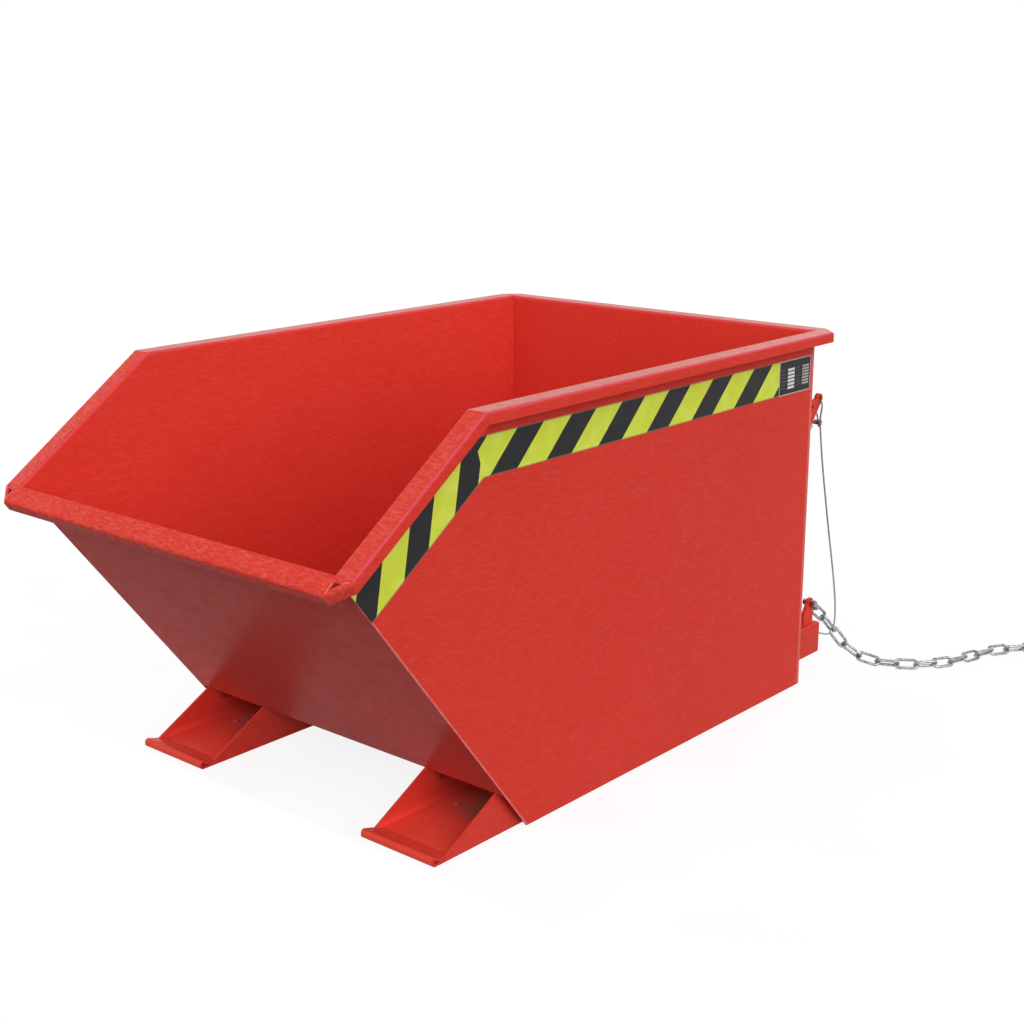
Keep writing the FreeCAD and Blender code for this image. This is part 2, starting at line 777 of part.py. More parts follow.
def split_pin(label, x, y, z):
    """A pin with a ring head, standing upright through a shaft at x, y, z."""
    shank = rod(label + "_shank", x, y, z + " - split_length / 2", "split_radius", "split_length",
                Vector(0, 0, 1))
    head = doc.addObject("Part::Torus", label + "_head")
    head.setExpression("Radius1", bound("split_head"))
    head.setExpression("Radius2", bound("split_head_rod"))
    head.Placement = FreeCAD.Placement(Vector(), FreeCAD.Rotation(Vector(0, 0, 1), Vector(1, 0, 0)))
    place(head, x, y, z + " + split_length / 2 + split_head")
    return fuse(label, shank, head)


def pin_hole(label, x, y, z):
    return rod(label, x, y, z + " - overrun", "split_radius + fit_gap", "2 * overrun", Vector(0, 0, 1))


def hinge():
    """Ears and shafts on the skids, lugs and bushes on the hopper, all on one line."""
    bushes, washers, pins = [], [], []
    for sign, hand in SIDES:
        blank = rod("shaft_blank_" + hand, "%d * skid_middle - slot_width / 2 - shaft_overhang" % sign,
                    "hinge_y", "hinge_z", "shaft_radius", "slot_width + 2 * shaft_overhang")
        for where, ear, inward in (("outer", "ear_out", -1), ("inner", "ear_in", 1)):
            spot = "%s_%s" % (hand, where)
            lug = "%d * (%s + %d * lug_offset)" % (sign, ear, inward)
            face = "%s - %d * ear_thick / 2" % (ear, inward)
            washer = "%d * (%s - %d * washer_thick / 2)" % (sign, face, inward)
            split = "%d * (%s - %d * split_setback)" % (sign, face, inward)
            hinge_ear("hinge_ear_" + spot, "%d * %s" % (sign, ear))
            hinge_lug("hinge_lug_" + spot, lug)
            bushes.append(ring("bush_" + spot, lug, "hinge_y", "hinge_z",
                               "shaft_radius + fit_gap", "bush_radius", "lug_thick"))
            washers.append(ring("washer_" + spot, washer, "hinge_y", "hinge_z",
                                "shaft_radius", "washer_radius", "washer_thick"))
            pins.append(split_pin("split_pin_" + spot, split, "hinge_y", "hinge_z"))
            hole = pin_hole("split_hole_" + spot, split, "hinge_y", "hinge_z")
            blank = cut("shaft_%s" % spot, blank, hole)
        keep(blank, "hinge_shaft_" + hand)
    group("hinge_bushes", bushes)
    group("shaft_washers", washers)
    group("shaft_split_pins", pins)


def latch_post():
    """A square tube on the right sleeve, with its foot plate, cap and gusset."""
    left, back = "post_x - post_width", "post_front + post_depth"
    body = new_body("latch_post")
    section = new_sketch(body, "XY_Plane", "post_base")
    add_outline(section, [
        (left, "post_front"), ("post_x", "post_front"), ("post_x", back), (left, back)])
    add_outline(section, [
        (left + " + post_wall", "post_front + post_wall"), ("post_x - post_wall", "post_front + post_wall"),
        ("post_x - post_wall", back + " - post_wall"), (left + " + post_wall", back + " - post_wall")])
    pad(body, section, "post_top - post_base", midplane=False)
    bore(body, "YZ_Plane", "pivot_y", "pivot_z", "pivot_radius", "2 * post_x + overrun")
    keep(block("post_foot_plate", left + " - gusset_leg - foot_toe", "post_front - foot_margin",
               "sleeve_top", "post_width + gusset_leg + 2 * foot_toe",
               "post_depth + 2 * foot_margin", "post_foot"), "post_foot_plate")
    keep(block("post_cap", left, "post_front", "post_top", "post_width", "post_depth", "cap_thick"),
         "post_cap")
    gusset = new_body("post_gusset", "0", "post_front + post_depth / 2")
    pad_outline(gusset, "XZ_Plane", [
        (left, "post_base"), (left, "post_base + gusset_leg"), (left + " - gusset_leg", "post_base"),
    ], "gusset_thick")


def latch_pivot():
    """The pin that the lever turns on, held by a washer and a split pin, and the open-stop peg."""
    start = "post_x - post_width - pivot_tail"
    length = "lever_out + spacer_thick + pivot_nose - (%s)" % start
    blank = rod("pivot_blank", start, "pivot_y", "pivot_z", "pivot_radius", length)
    split = "lever_out + spacer_thick + split_radius + split_gap"
    hole = pin_hole("pivot_hole", split, "pivot_y", "pivot_z")
    keep(cut("latch_pivot_pin", blank, hole), "latch_pivot_pin")
    keep(split_pin("pivot_split_pin", split, "pivot_y", "pivot_z"), "pivot_split_pin")
    group("pivot_washers", [
        ring("pivot_washer_" + end, x, "pivot_y", "pivot_z", "pivot_radius", "pivot_washer", "spacer_thick")
        for end, x in (("inner", "post_x + spacer_thick / 2"), ("outer", "lever_out + spacer_thick / 2"))])
    keep(rod("latch_stop_peg", "post_x", "peg_y", "peg_z", "peg_radius", "spacer_thick + lever_thick"),
         "latch_stop_peg")


def latch_lever():
    """An upright arm with an eye for the rope, and the bar on its side that lies over the catch pin."""
    half = "lever_width / 2"
    length = "lever_thick + overrun"
    lever = new_body("latch_lever", "lever_x", "pivot_y", "pivot_z")
    pad_outline(lever, "YZ_Plane", [
        (half, "0"), (half, "lever_eye"), ("-" + half, "lever_eye"), ("-" + half, "0"),
    ], "lever_thick")
    pad_circle(lever, "YZ_Plane", "0", "0", "lever_boss", "lever_thick")
    pad_circle(lever, "YZ_Plane", "0", "lever_eye", "eye_boss", "lever_thick")
    bore(lever, "YZ_Plane", "0", "0", "pivot_radius + fit_gap", length)
    bore(lever, "YZ_Plane", "0", "lever_eye", "eye_bore", length)

    def root(radius):
        return "-" + half, "(%s - %s * lag_sin) / lag_cos" % (radius, half)

    def tip(radius):
        return ("-%s * lag_sin - hook_past * lag_cos" % radius,
                "%s * lag_cos - hook_past * lag_sin" % radius)
    hook = new_body("latch_hook", "lever_x", "pivot_y", "pivot_z")
    pad_outline(hook, "YZ_Plane", [
        root("hook_inner"), root("hook_outer"), tip("hook_outer"), tip("hook_inner"),
    ], "lever_thick")
    for body in (lever, hook):
        body.Placement.Rotation = FreeCAD.Rotation(Vector(1, 0, 0), value("arm_angle - 90 deg"))
        body.setExpression("Placement.Rotation.Angle", bound("arm_angle - 90 deg"))


def catch():
    """A plate on the hopper's rear wall, with the pin that the hook takes."""
    reach = "catch_y + catch_border"
    body = new_body("catch_plate", "catch_x + catch_plate / 2")
    pad_outline(body, "YZ_Plane", [
        ("0", "catch_z - catch_depth"), (reach, "catch_z - catch_border"),
        (reach, "catch_z + catch_border"), ("0", "catch_z + catch_depth"),
    ], "catch_plate")
    bore(body, "YZ_Plane", "catch_y", "catch_z", "catch_radius", "catch_plate + overrun")
    keep(rod("catch_pin", "lever_x - lever_thick / 2", "catch_y", "catch_z", "catch_radius",
             "lever_thick + catch_gap + catch_plate"), "catch_pin")


def bent_path(points):
    """Straight runs through points joined by tangent arcs, each as large as its two runs allow."""
    edges, radii = [], []
    start = points[0]
    for before, corner, after in zip(points, points[1:], points[2:]):
        into, away = corner - before, after - corner
        turn = into.getAngle(away)
        trim = ARC_SHARE * min(into.Length, away.Length)
        radii.append(trim / math.tan(turn / 2))
        first = corner - Vector(into).normalize() * trim
        last = corner + Vector(away).normalize() * trim
        bulge = (first + last) / 2 - corner
        center = corner + bulge.normalize() * math.hypot(trim, radii[-1])
        middle = center + (corner - center).normalize() * radii[-1]
        edges.append(Part.LineSegment(start, first).toShape())
        edges.append(Part.Arc(first, middle, last).toShape())
        start = last
    edges.append(Part.LineSegment(start, points[-1]).toShape())
    return Part.Wire(edges), radii


def bent_rod(points, radius):
    """A round bar along a bent path; its volume has to be its section times its length."""
    path, radii = bent_path(points)
    circle = Part.Circle(points[0], points[1] - points[0], radius).toShape()
    solid = path.makePipeShell([Part.Wire([circle])], True, False)
    wanted = math.pi * radius ** 2 * path.Length
    if abs(solid.Volume / wanted - 1) > 0.01:
        raise RuntimeError("a bent rod came out with the wrong volume")
    return solid, path.Length, radii


def frame_from(origin, across, along):
    """A placement whose X is across and Y is along."""
    return FreeCAD.Placement(origin, FreeCAD.Rotation(across, along, across.cross(along), "XYZ"))


def moved(shape, placement):
    shape = shape.copy()
    shape.Placement = placement.multiply(shape.Placement)
    return shape


def chain_anchor():
    """An upright plate on the right sleeve, a bow shackle in it and the shackle's pin."""
    low, high = "anchor_y - anchor_foot", "anchor_y + anchor_border"
    top = "anchor_z + anchor_border"
    body = new_body("chain_anchor_plate", "anchor_x")
    pad_outline(body, "YZ_Plane", [
        (low, "sleeve_top"), (high, "sleeve_top"), (high, top + " - anchor_cut"),
        (high + " - anchor_cut", top), ("anchor_y - anchor_cut", top), (low, "sleeve_top + anchor_foot"),
    ], "anchor_thick")
    bore(body, "YZ_Plane", "anchor_y", "anchor_z", "shackle_pin", "anchor_thick + overrun")

    bar, length, boss = value("shackle_rod"), value("shackle_length"), value("shackle_boss")
    leg = value("shackle_gap") / 2 + bar
    bow = bent_rod([Vector(leg, 0, 0), Vector(leg, length, 0), Vector(-leg, length, 0), Vector(-leg, 0, 0)],
                   bar)[0]
    across = Vector(1, 0, 0)
    pin_radius = value("shackle_pin")
    for sign in (1, -1):
        bow = bow.fuse(Part.makeCylinder(boss, 2 * bar, Vector(sign * leg - bar, 0, 0), across))
    reach = leg + 2 * bar
    bow = bow.cut(Part.makeCylinder(bar, 2 * reach, Vector(-reach, 0, 0), across)).removeSplitter()
    pin = Part.makeCylinder(pin_radius, leg + bar + reach, Vector(-leg - bar, 0, 0), across)
    head = Part.makeCylinder(value("shackle_head"), bar, Vector(leg + bar, 0, 0), across)
    down = math.radians(value("shackle_dip"))
    along = Vector(0, math.cos(down), -math.sin(down))
    eye = Vector(value("anchor_x"), value("anchor_y"), value("anchor_z"))
    seat = frame_from(eye, across, along)
    feature("chain_shackle", moved(bow.Solids[0], seat))
    feature("chain_shackle_pin", moved(pin.fuse(head).removeSplitter().Solids[0], seat))
    return eye + along * (length - bar - value("link_slack") / 2)


def chain_link():
    """One long link in the XY plane: two straight bars and two half rings."""
    bar, bend, half = value("link_rod"), value("link_radius"), value("link_straight") / 2
    link = None
    for sign in (1, -1):
        straight = Part.makeCylinder(bar, 2 * half, Vector(sign * bend, -half, 0), Vector(0, 1, 0))
        bow = Part.makeTorus(bend, bar, Vector(), Vector(0, 0, 1), 0, 360, 180)
        bow.Placement = FreeCAD.Placement(Vector(0, sign * half, 0),
                                          FreeCAD.Rotation(Vector(0, 0, 1), 0 if sign > 0 else 180))
        pieces = straight.fuse(bow)
        link = pieces if link is None else link.fuse(pieces)
    return link.removeSplitter().Solids[0]


def safety_chain(start):
    """Long links one after another along the route, each rolled against the next, and an end ring."""
    curve = Part.BSplineCurve()
    curve.interpolate([start] + [Vector(*point) for point in CHAIN_ROUTE])
    pitch = value("link_pitch")
    line = curve.toShape()
    joints = [curve.value(curve.parameterAtDistance(pitch * index)) for index in range(LINK_COUNT + 1)]
    link, links = chain_link(), []

    def roll(index):
        """Upright in the shackle, then leaning the two ways by turns as the links lie down."""
        return LINK_ROLL + 90 * (index % 2) + max(LINK_ROLL - LINK_TWIST * index, 0)

    def seat(origin, along, angle):
        side = along.cross(Vector(0, 0, 1)).normalize()
        across = FreeCAD.Rotation(along, angle).multVec(side)
        return frame_from(origin, across, along)
    for index, (first, last) in enumerate(zip(joints, joints[1:])):
        along = (last - first).normalize()
        links.append(moved(link, seat((first + last) / 2, along, roll(index))))
    feature("safety_chain", Part.makeCompound(links))
    radius, bar = value("end_ring"), value("end_ring_rod")
    reach = radius - value("link_rod") - value("link_slack") / 2
    lean = math.sin(math.radians(LINK_ROLL))
    origin = joints[-1] + along * reach
    origin.z = radius * lean + bar
    ring_shape = Part.makeTorus(radius, bar)
    feature("chain_end_ring", moved(ring_shape, seat(origin, along, roll(LINK_COUNT))))
    print("chain: %d links, %.0f mm of %.0f mm route" % (LINK_COUNT, pitch * LINK_COUNT, line.Length))


def rope():
    """The release rope: an eye in the lever with its clip, the free rope, and a ferruled end eye."""
    radius, strand = value("rope_radius"), value("strand")
    tilt = math.radians(value("rope_tilt"))
    across, along = Vector(1, 0, 0), Vector(0, math.sin(tilt), -math.cos(tilt))
    hang = value("eye_bore - rope_radius - strand_gap")
    eye = Vector(value("lever_x"), value("eye_y"), value("eye_z")) + along * hang
    seat = frame_from(eye, across, along)
    half, shoulder, length = value("loop_half"), value("loop_shoulder"), value("loop_length")
    lead, tail = length + value("rope_lead"), length + value("loop_tail")
    loop = [Vector(-strand, tail, 0), Vector(-strand, length, 0), Vector(-half, shoulder, 0),
            Vector(-half, 0, 0), Vector(half, 0, 0), Vector(half, shoulder, 0),
            Vector(strand, length, 0), Vector(strand, lead, 0)]
    feature("rope_eye", moved(bent_rod(loop, radius)[0], seat))
    rope_clip(seat)

    start = seat.multVec(loop[-1])
    route = [start, start + along * value("rope_drop")] + [Vector(*point) for point in ROPE_ROUTE]
    line, reach, radii = bent_rod(route, radius)
    feature("rope_line", line)
    print("rope: %.0f mm free, radii %s" % (reach, " ".join("%.0f" % item for item in radii)))
    rope_end(route[-2], route[-1])


def rope_clip(seat):
    """A U-bolt clip over the two strands: saddle, bolt and two nuts."""
    strand, radius, bar = value("strand"), value("rope_radius"), value("clip_rod")
    gap, middle = value("clip_gap"), value("clip_place")
    leg = strand + radius + value("clip_room") + bar
    over = radius + value("clip_room") + bar
    saddle_top = -radius - gap
    saddle_low = saddle_top - value("saddle_thick")
    end = saddle_low - value("nut_thick") - value("clip_stud")
    bolt = [Vector(leg, middle, end), Vector(leg, middle, over), Vector(-leg, middle, over),
            Vector(-leg, middle, end)]
    wide, long = value("clip_width"), value("clip_length")
    saddle = Part.makeBox(wide, long, value("saddle_thick"), Vector(-wide / 2, middle - long / 2, saddle_low))
    flat = value("nut_flat") / math.sqrt(3)
    corners = [Vector(flat * math.cos(step * math.pi / 3), flat * math.sin(step * math.pi / 3), 0)
               for step in range(7)]
    blank = Part.Face(Part.makePolygon(corners)).extrude(Vector(0, 0, value("nut_thick")))
    nuts = []
    for sign in (1, -1):
        foot = Vector(sign * leg, middle, end)
        saddle = saddle.cut(Part.makeCylinder(bar + value("fit_gap"), -end, foot))
        nut = blank.copy()
        nut.translate(Vector(sign * leg, middle, saddle_low - value("nut_thick")))
        nuts.append(nut.cut(Part.makeCylinder(bar, -end, foot)).Solids[0])
    feature("rope_clip_saddle", moved(saddle.Solids[0], seat))
    feature("rope_clip_bolt", moved(bent_rod(bolt, bar)[0], seat))
    feature("rope_clip_nuts", moved(Part.makeCompound(nuts), seat))


def rope_end(before, end):
    """A pressed ferrule at the rope's end and the flat eye that it closes."""
    along = (end - before).normalize()
    across = along.cross(Vector(0, 0, 1)).normalize()
    seat = frame_from(end, across, along)
    wide, high, length = value("ferrule_width"), value("ferrule_height"), value("ferrule_length")
    ferrule = Part.makeBox(wide, length, high, Vector(-wide / 2, 0, -high / 2))
    long_edges = [edge for edge in ferrule.Edges if abs(edge.tangentAt(0).y) > 0.5]
    ferrule = ferrule.makeFillet(value("ferrule_round"), long_edges)
    ferrule.translate(Vector(0, 0, high / 2 - end.z))
    feature("rope_ferrule", moved(ferrule.Solids[0], seat))
    strand, half = value("strand"), value("end_loop_half")
    shoulder, reach = length + value("end_loop_shoulder"), length + value("end_loop_length")
    neck = length + value("end_loop_neck")
    loop = [Vector(-strand, length, 0), Vector(-strand, neck, 0), Vector(-half, shoulder, 0),
            Vector(-half, reach, 0), Vector(half, reach, 0), Vector(half, shoulder, 0),
            Vector(strand, neck, 0), Vector(strand, length, 0)]
    feature("rope_end_eye", moved(bent_rod(loop, value("rope_radius"))[0], seat))


def check_and_write():
    """Stops on a failed object or an empty or broken shape, then writes each piece."""
    doc.recompute()
    for item in doc.Objects:
        if {"Invalid", "Error"} & set(item.State):
            raise RuntimeError("%s failed: %s" % (item.Label, item.State))
    for item in sub_parts:
        if item.Shape.isNull() or not item.Shape.isValid() or not item.Shape.Solids:
            raise RuntimeError("%s has no sound shape" % item.Label)
    os.makedirs("parts", exist_ok=True)
    for item in sub_parts:
        item.Shape.exportStep(os.path.join("parts", item.Label + ".step"))


sheet = fill_sheets()
for sign, hand in SIDES:
    side_panel(sign, hand)
    rim_corner(sign, hand, True)
    rim_corner(sign, hand, False)
    tape(sign, hand)
    skid(sign, hand)
    sleeve_plate(sign, hand)
rear_wall()
front_plate()
floor_plate()
floor_bars()
rating_plate()
cross_member("front")
cross_member("rear")
hinge()
latch_post()
latch_pivot()
latch_lever()
catch()
safety_chain(chain_anchor())
rope()
check_and_write()
for title, words in (("hinge", ("hinge_y + row_shift", "hinge_z", "tip_limit")),
                     ("latch", ("pivot_y + row_shift", "pivot_z", "latch_swing")),
                     ("row shift", ("row_shift",))):
    print(title, " ".join("%.3f" % value(text) for text in words))
print("%d pieces" % len(sub_parts))
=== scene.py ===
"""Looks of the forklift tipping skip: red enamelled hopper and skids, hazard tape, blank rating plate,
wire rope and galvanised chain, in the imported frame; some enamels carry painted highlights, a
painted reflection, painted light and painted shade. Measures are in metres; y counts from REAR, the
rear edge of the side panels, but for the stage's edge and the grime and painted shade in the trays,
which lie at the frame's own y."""
import json
import math

import bpy
import numpy as np
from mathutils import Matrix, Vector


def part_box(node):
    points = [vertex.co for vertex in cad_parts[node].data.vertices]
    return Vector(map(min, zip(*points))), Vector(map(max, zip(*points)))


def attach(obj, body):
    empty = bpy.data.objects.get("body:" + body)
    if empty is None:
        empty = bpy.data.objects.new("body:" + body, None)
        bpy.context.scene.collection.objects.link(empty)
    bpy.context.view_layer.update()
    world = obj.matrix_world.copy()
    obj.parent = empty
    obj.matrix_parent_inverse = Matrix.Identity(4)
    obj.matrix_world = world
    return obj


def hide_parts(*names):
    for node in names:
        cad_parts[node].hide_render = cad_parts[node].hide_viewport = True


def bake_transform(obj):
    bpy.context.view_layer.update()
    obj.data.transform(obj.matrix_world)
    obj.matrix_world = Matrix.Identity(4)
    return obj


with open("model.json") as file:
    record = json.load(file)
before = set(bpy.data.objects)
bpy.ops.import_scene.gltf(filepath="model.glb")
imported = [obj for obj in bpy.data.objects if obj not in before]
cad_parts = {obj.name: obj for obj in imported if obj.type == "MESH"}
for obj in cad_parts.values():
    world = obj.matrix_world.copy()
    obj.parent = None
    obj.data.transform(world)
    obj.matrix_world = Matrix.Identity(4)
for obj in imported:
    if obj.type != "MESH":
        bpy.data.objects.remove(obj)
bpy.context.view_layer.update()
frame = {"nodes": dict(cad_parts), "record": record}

NODES = frame["nodes"]
SIDES = ((1, "right"), (-1, "left"))

# Places, as in the part's source
SHEET = 0.004
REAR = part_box("rear_wall")[0].y + SHEET
HALF_WIDTH = 0.495
TOP = 0.936
KINK_Y = -1.279
LIP_Y = -1.634
LIP_Z = 0.688
BASE_LENGTH = 1.102
PANEL_LIFT = 0.005
RIM_WIDTH = 0.048
FLOOR_TOP = 0.149
WALL_HEIGHT = 0.130
SKID_BASE = 0.005
SKID_IN, SKID_OUT = 0.264, 0.471
MOUTH = np.array([-(KINK_Y - LIP_Y), -(TOP - LIP_Z)]) / math.hypot(KINK_Y - LIP_Y, TOP - LIP_Z)
PLATE_SLOPE = (-LIP_Y - BASE_LENGTH) / (LIP_Z - PANEL_LIFT)
PLATE_LENGTH = math.hypot(-LIP_Y - BASE_LENGTH, LIP_Z - PANEL_LIFT)
PLATE_SIN = (LIP_Z - PANEL_LIFT) / PLATE_LENGTH
PLATE_COS = (-LIP_Y - BASE_LENGTH) / PLATE_LENGTH
PLATE_FRONT = REAR - BASE_LENGTH
MITRE = (1 + MOUTH[0]) / -MOUTH[1]


def spot(x, y, z):
    """A point of the row frame from x, y behind REAR and z."""
    return np.array([x, y + REAR, z], float)


# Meshes from arrays
def new_piece(name, points, faces, material, body, uv=None, smooth=True):
    """A mesh piece from a point array and faces, at the origin, riding on a body."""
    mesh = bpy.data.meshes.new(name)
    mesh.from_pydata(points.reshape(-1, 3), [], faces)
    if uv is not None:
        corner = np.empty(len(mesh.loops), np.int32)
        mesh.loops.foreach_get("vertex_index", corner)
        layer = mesh.uv_layers.new(name="UVMap")
        layer.data.foreach_set("uv", uv.reshape(-1, 2)[corner].astype(np.float32).ravel())
    mesh.polygons.foreach_set("use_smooth", np.full(len(mesh.polygons), smooth))
    mesh.materials.append(material)
    mesh.update()
    piece = bpy.data.objects.new(name, mesh)
    bpy.context.scene.collection.objects.link(piece)
    if body:
        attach(piece, body)
    return piece


def grid_faces(rows, columns, around=False, offset=0):
    """Quads of a rows x columns grid of points; around joins the last column to the first."""
    across = columns if around else columns - 1
    i, j = np.meshgrid(np.arange(rows - 1), np.arange(across), indexing="ij")
    k = (j + 1) % columns
    quads = np.stack([i * columns + j, i * columns + k, (i + 1) * columns + k, (i + 1) * columns + j], -1)
    return (quads.reshape(-1, 4) + offset).tolist()


def tube_faces(rows, columns, offset=0):
    """Quads of a tube whose rows are rings, and one face to close each end."""
    first = np.arange(columns)[::-1] + offset
    last = np.arange(columns) + (rows - 1) * columns + offset
    return grid_faces(rows, columns, True, offset) + [first.tolist(), last.tolist()]


def arc_length(path):
    """Distance along a row of points, from its first one."""
    return np.concatenate([[0], np.cumsum(np.linalg.norm(np.diff(path, axis=0), axis=1))])


def spaced(path, step):
    """The same line with points at an even step."""
    along = arc_length(path)
    wanted = np.linspace(0, along[-1], max(int(round(along[-1] / step)), 2) + 1)
    return np.stack([np.interp(wanted, along, path[:, axis]) for axis in range(3)], 1)


def frames_along(path, reference):
    """Tangent, normal and binormal at each point; the normal is the reference less its share along the
    tangent, so the frame doesn't turn about the line."""
    tangent = np.gradient(path, axis=0)
    tangent /= np.linalg.norm(tangent, axis=1)[:, None]
    reference = np.asarray(reference, float)
    normal = reference - (tangent @ reference)[:, None] * tangent
    normal /= np.linalg.norm(normal, axis=1)[:, None]
    return tangent, normal, np.cross(tangent, normal)


def rings_along(path, reference, radius, turn):
    """Rings of points carried along a line: radius[i, j] from point i in direction turn[i, j] between
    normal and binormal."""
    _, normal, binormal = frames_along(path, reference)
    return (path[:, None] + (radius * np.cos(turn))[..., None] * normal[:, None]
            + (radius * np.sin(turn))[..., None] * binormal[:, None])


def boxes(lows, highs):
    """Points and faces of upright boxes from arrays of lowest and highest corners."""
    corner = np.array([[0, 0, 0], [1, 0, 0], [1, 1, 0], [0, 1, 0],
                       [0, 0, 1], [1, 0, 1], [1, 1, 1], [0, 1, 1]], float)
    side = np.array([[0, 3, 2, 1], [4, 5, 6, 7], [0, 1, 5, 4], [1, 2, 6, 5], [2, 3, 7, 6], [3, 0, 4, 7]])
    lows, highs = np.asarray(lows, float), np.asarray(highs, float)
    points = lows[:, None] + corner * (highs - lows)[:, None]
    faces = side + 8 * np.arange(len(lows))[:, None, None]
    return points.reshape(-1, 3), faces.reshape(-1, 4).tolist()


# Finishes
class Finish:
    """A node finish in the making. Patterns read Object coordinates in metres, or the piece's UV map."""

    def __init__(self, name):
        self.material = bpy.data.materials.new(name)
        self.material.use_nodes = True
        self.tree = self.material.node_tree
        self.tree.nodes.clear()
        self.place = self.add("ShaderNodeTexCoord").outputs["Object"]

    def add(self, kind, settings=None, **inputs):
        """A node with its settings and inputs; an input is named, or numbered as i0, i1 and so on."""
        node = self.tree.nodes.new(kind)
        for key, value in (settings or {}).items():
            setattr(node, key, value)
        for key, value in inputs.items():
            self.feed(node.inputs[int(key[1:]) if key[0] == "i" and key[1:].isdigit() else key], value)
        return node

    def feed(self, socket, value):
        """Links a socket, or sets it to a constant."""
        if isinstance(value, bpy.types.NodeSocket):
            self.tree.links.new(value, socket)
        else:
            socket.default_value = value

    def uv(self):
        """The piece's UV map."""
        return self.add("ShaderNodeUVMap").outputs["UV"]

    def split(self, vector):
        """The X, Y and Z of a vector."""
        return self.add("ShaderNodeSeparateXYZ", Vector=vector).outputs

    def stretched(self, scale, turn=(0, 0, 0), vector=None):
        """Coordinates scaled and turned, for a pattern with a grain."""
        node = self.add("ShaderNodeMapping", Vector=self.place if vector is None else vector)
        node.inputs["Scale"].default_value = scale
        node.inputs["Rotation"].default_value = turn
        return node.outputs["Vector"]

    def noise(self, scale, detail=3.0, rough=0.5, vector=None):
        """Noise between 0 and 1."""
        node = self.add("ShaderNodeTexNoise", Vector=self.place if vector is None else vector)
        for key, value in (("Scale", scale), ("Detail", detail), ("Roughness", rough)):
            node.inputs[key].default_value = value
        return node.outputs["Fac"]

    def calc(self, operation, first, second=0.0, third=0.0):
        """One step of arithmetic."""
        node = self.add("ShaderNodeMath", {"operation": operation}, i0=first, i1=second, i2=third)
        return node.outputs[0]

    def both(self, first, second):
        """The product of two shares."""
        return self.calc("MULTIPLY", first, second)

    def ease(self, value, low, high, start=0.0, end=1.0):
        """A value's way from low to high, brought to start and end and held there."""
        node = self.add("ShaderNodeMapRange", {"interpolation_type": "SMOOTHSTEP"}, Value=value)
        for key, number in (("From Min", low), ("From Max", high), ("To Min", start), ("To Max", end)):
            node.inputs[key].default_value = number
        return node.outputs["Result"]

    def mix(self, share, first, second):
        """The first colour, and a share of the second over it."""
        node = self.add("ShaderNodeMix", {"data_type": "RGBA"}, i0=share)
        self.feed(node.inputs[6], first)
        self.feed(node.inputs[7], second)
        return node.outputs[2]

    def bump(self, height, distance, strength=1.0, below=None):
        """Fine relief, over another relief if one is given."""
        node = self.add("ShaderNodeBump", Height=height)
        node.inputs["Distance"].default_value = distance
        node.inputs["Strength"].default_value = strength
        if below is not None:
            self.feed(node.inputs["Normal"], below)
        return node.outputs["Normal"]

    def done(self, **inputs):
        """The material, with the inputs on its shader; an underscore stands for a space."""
        shader = self.add("ShaderNodeBsdfPrincipled")
        for key, value in inputs.items():
            self.feed(shader.inputs[key.replace("_", " ")], value)
        out = self.add("ShaderNodeOutputMaterial")
        self.tree.links.new(shader.outputs["BSDF"], out.inputs["Surface"])
        return self.material


def colour(red, green, blue):
    """A linear colour from its sRGB values out of 255."""
    share = np.array([red, green, blue], float) / 255
    linear = np.where(share <= 0.04045, share / 12.92, ((share + 0.055) / 1.055) ** 2.4)
    return (*linear, 1.0)


RED_LOW = colour(213, 53, 41)
RED_HIGH = colour(222, 62, 50)
RED_PALE = colour(222, 104, 92)
RED_DARK = colour(168, 52, 44)
# Painted light: the tray floor is painted lighter than the walls
TRAY_PAINTED_LIGHT_RED = colour(240, 78, 62)
# Painted highlight on the rim's bends
RED_GLINT = colour(208, 86, 118)
# Pale cut edges of the side panels: wear and a painted highlight
RED_WORN_AND_HIGHLIGHT = colour(226, 128, 122)
# Darker enamel for the hinge ears and lugs: painted shade
HINGE_SHADED_LOW = colour(138, 44, 36)
HINGE_SHADED_HIGH = colour(164, 50, 40)
# Paler enamel for the corner seams: a painted highlight
SEAM_HIGHLIGHT_LOW = colour(226, 108, 112)
SEAM_HIGHLIGHT_HIGH = colour(236, 134, 136)
# Chalk and a painted sheen on the rim's level top
CHALK_AND_SHEEN = colour(190, 156, 148)
DUST = colour(150, 122, 108)
SOIL = colour(92, 50, 40)
# Grey grime and painted shade at the back of the trays
GRIME_AND_SHADE = colour(112, 98, 96)
# Grey film on the front plate: a painted reflection of the ground
GREY_PAINTED_REFLECTION = colour(112, 96, 94)
INSIDE = HALF_WIDTH - SHEET
BRIM = HALF_WIDTH + RIM_WIDTH

# Reaches of the wear and of the painted light and shade, where each is full and where it ends
SKIN = 0.0006
BEND_NEAR, BEND_FAR = 0.0032, 0.0044
EDGE_NEAR, EDGE_FAR = 0.0004, 0.0012
SLOPE_START, SLOPE_FULL = 0.0015, 0.0060
CUT_NEAR, CUT_FAR = 0.0028, 0.0050
REAR_CUT_NEAR, REAR_CUT_FAR = -0.0080, -0.0120
LIP_BACK, LIP_AHEAD = 0.008, 0.004
PLATE_NEAR, PLATE_FAR = 0.0015, 0.0030
REFLECTION_START, REFLECTION_FULL = 0.030, 0.045
WALL_NEAR, WALL_FAR = 0.001, 0.003
TRAY_FLOOR, TRAY_FADE = 0.006, 0.030
GRIME_SHADE_START, GRIME_SHADE_FULL = -0.425, -0.350
GRIME_SHADE_FOOT, GRIME_SHADE_TOP = 0.020, 0.085
GRIME_SHADE_ACROSS = 0.16


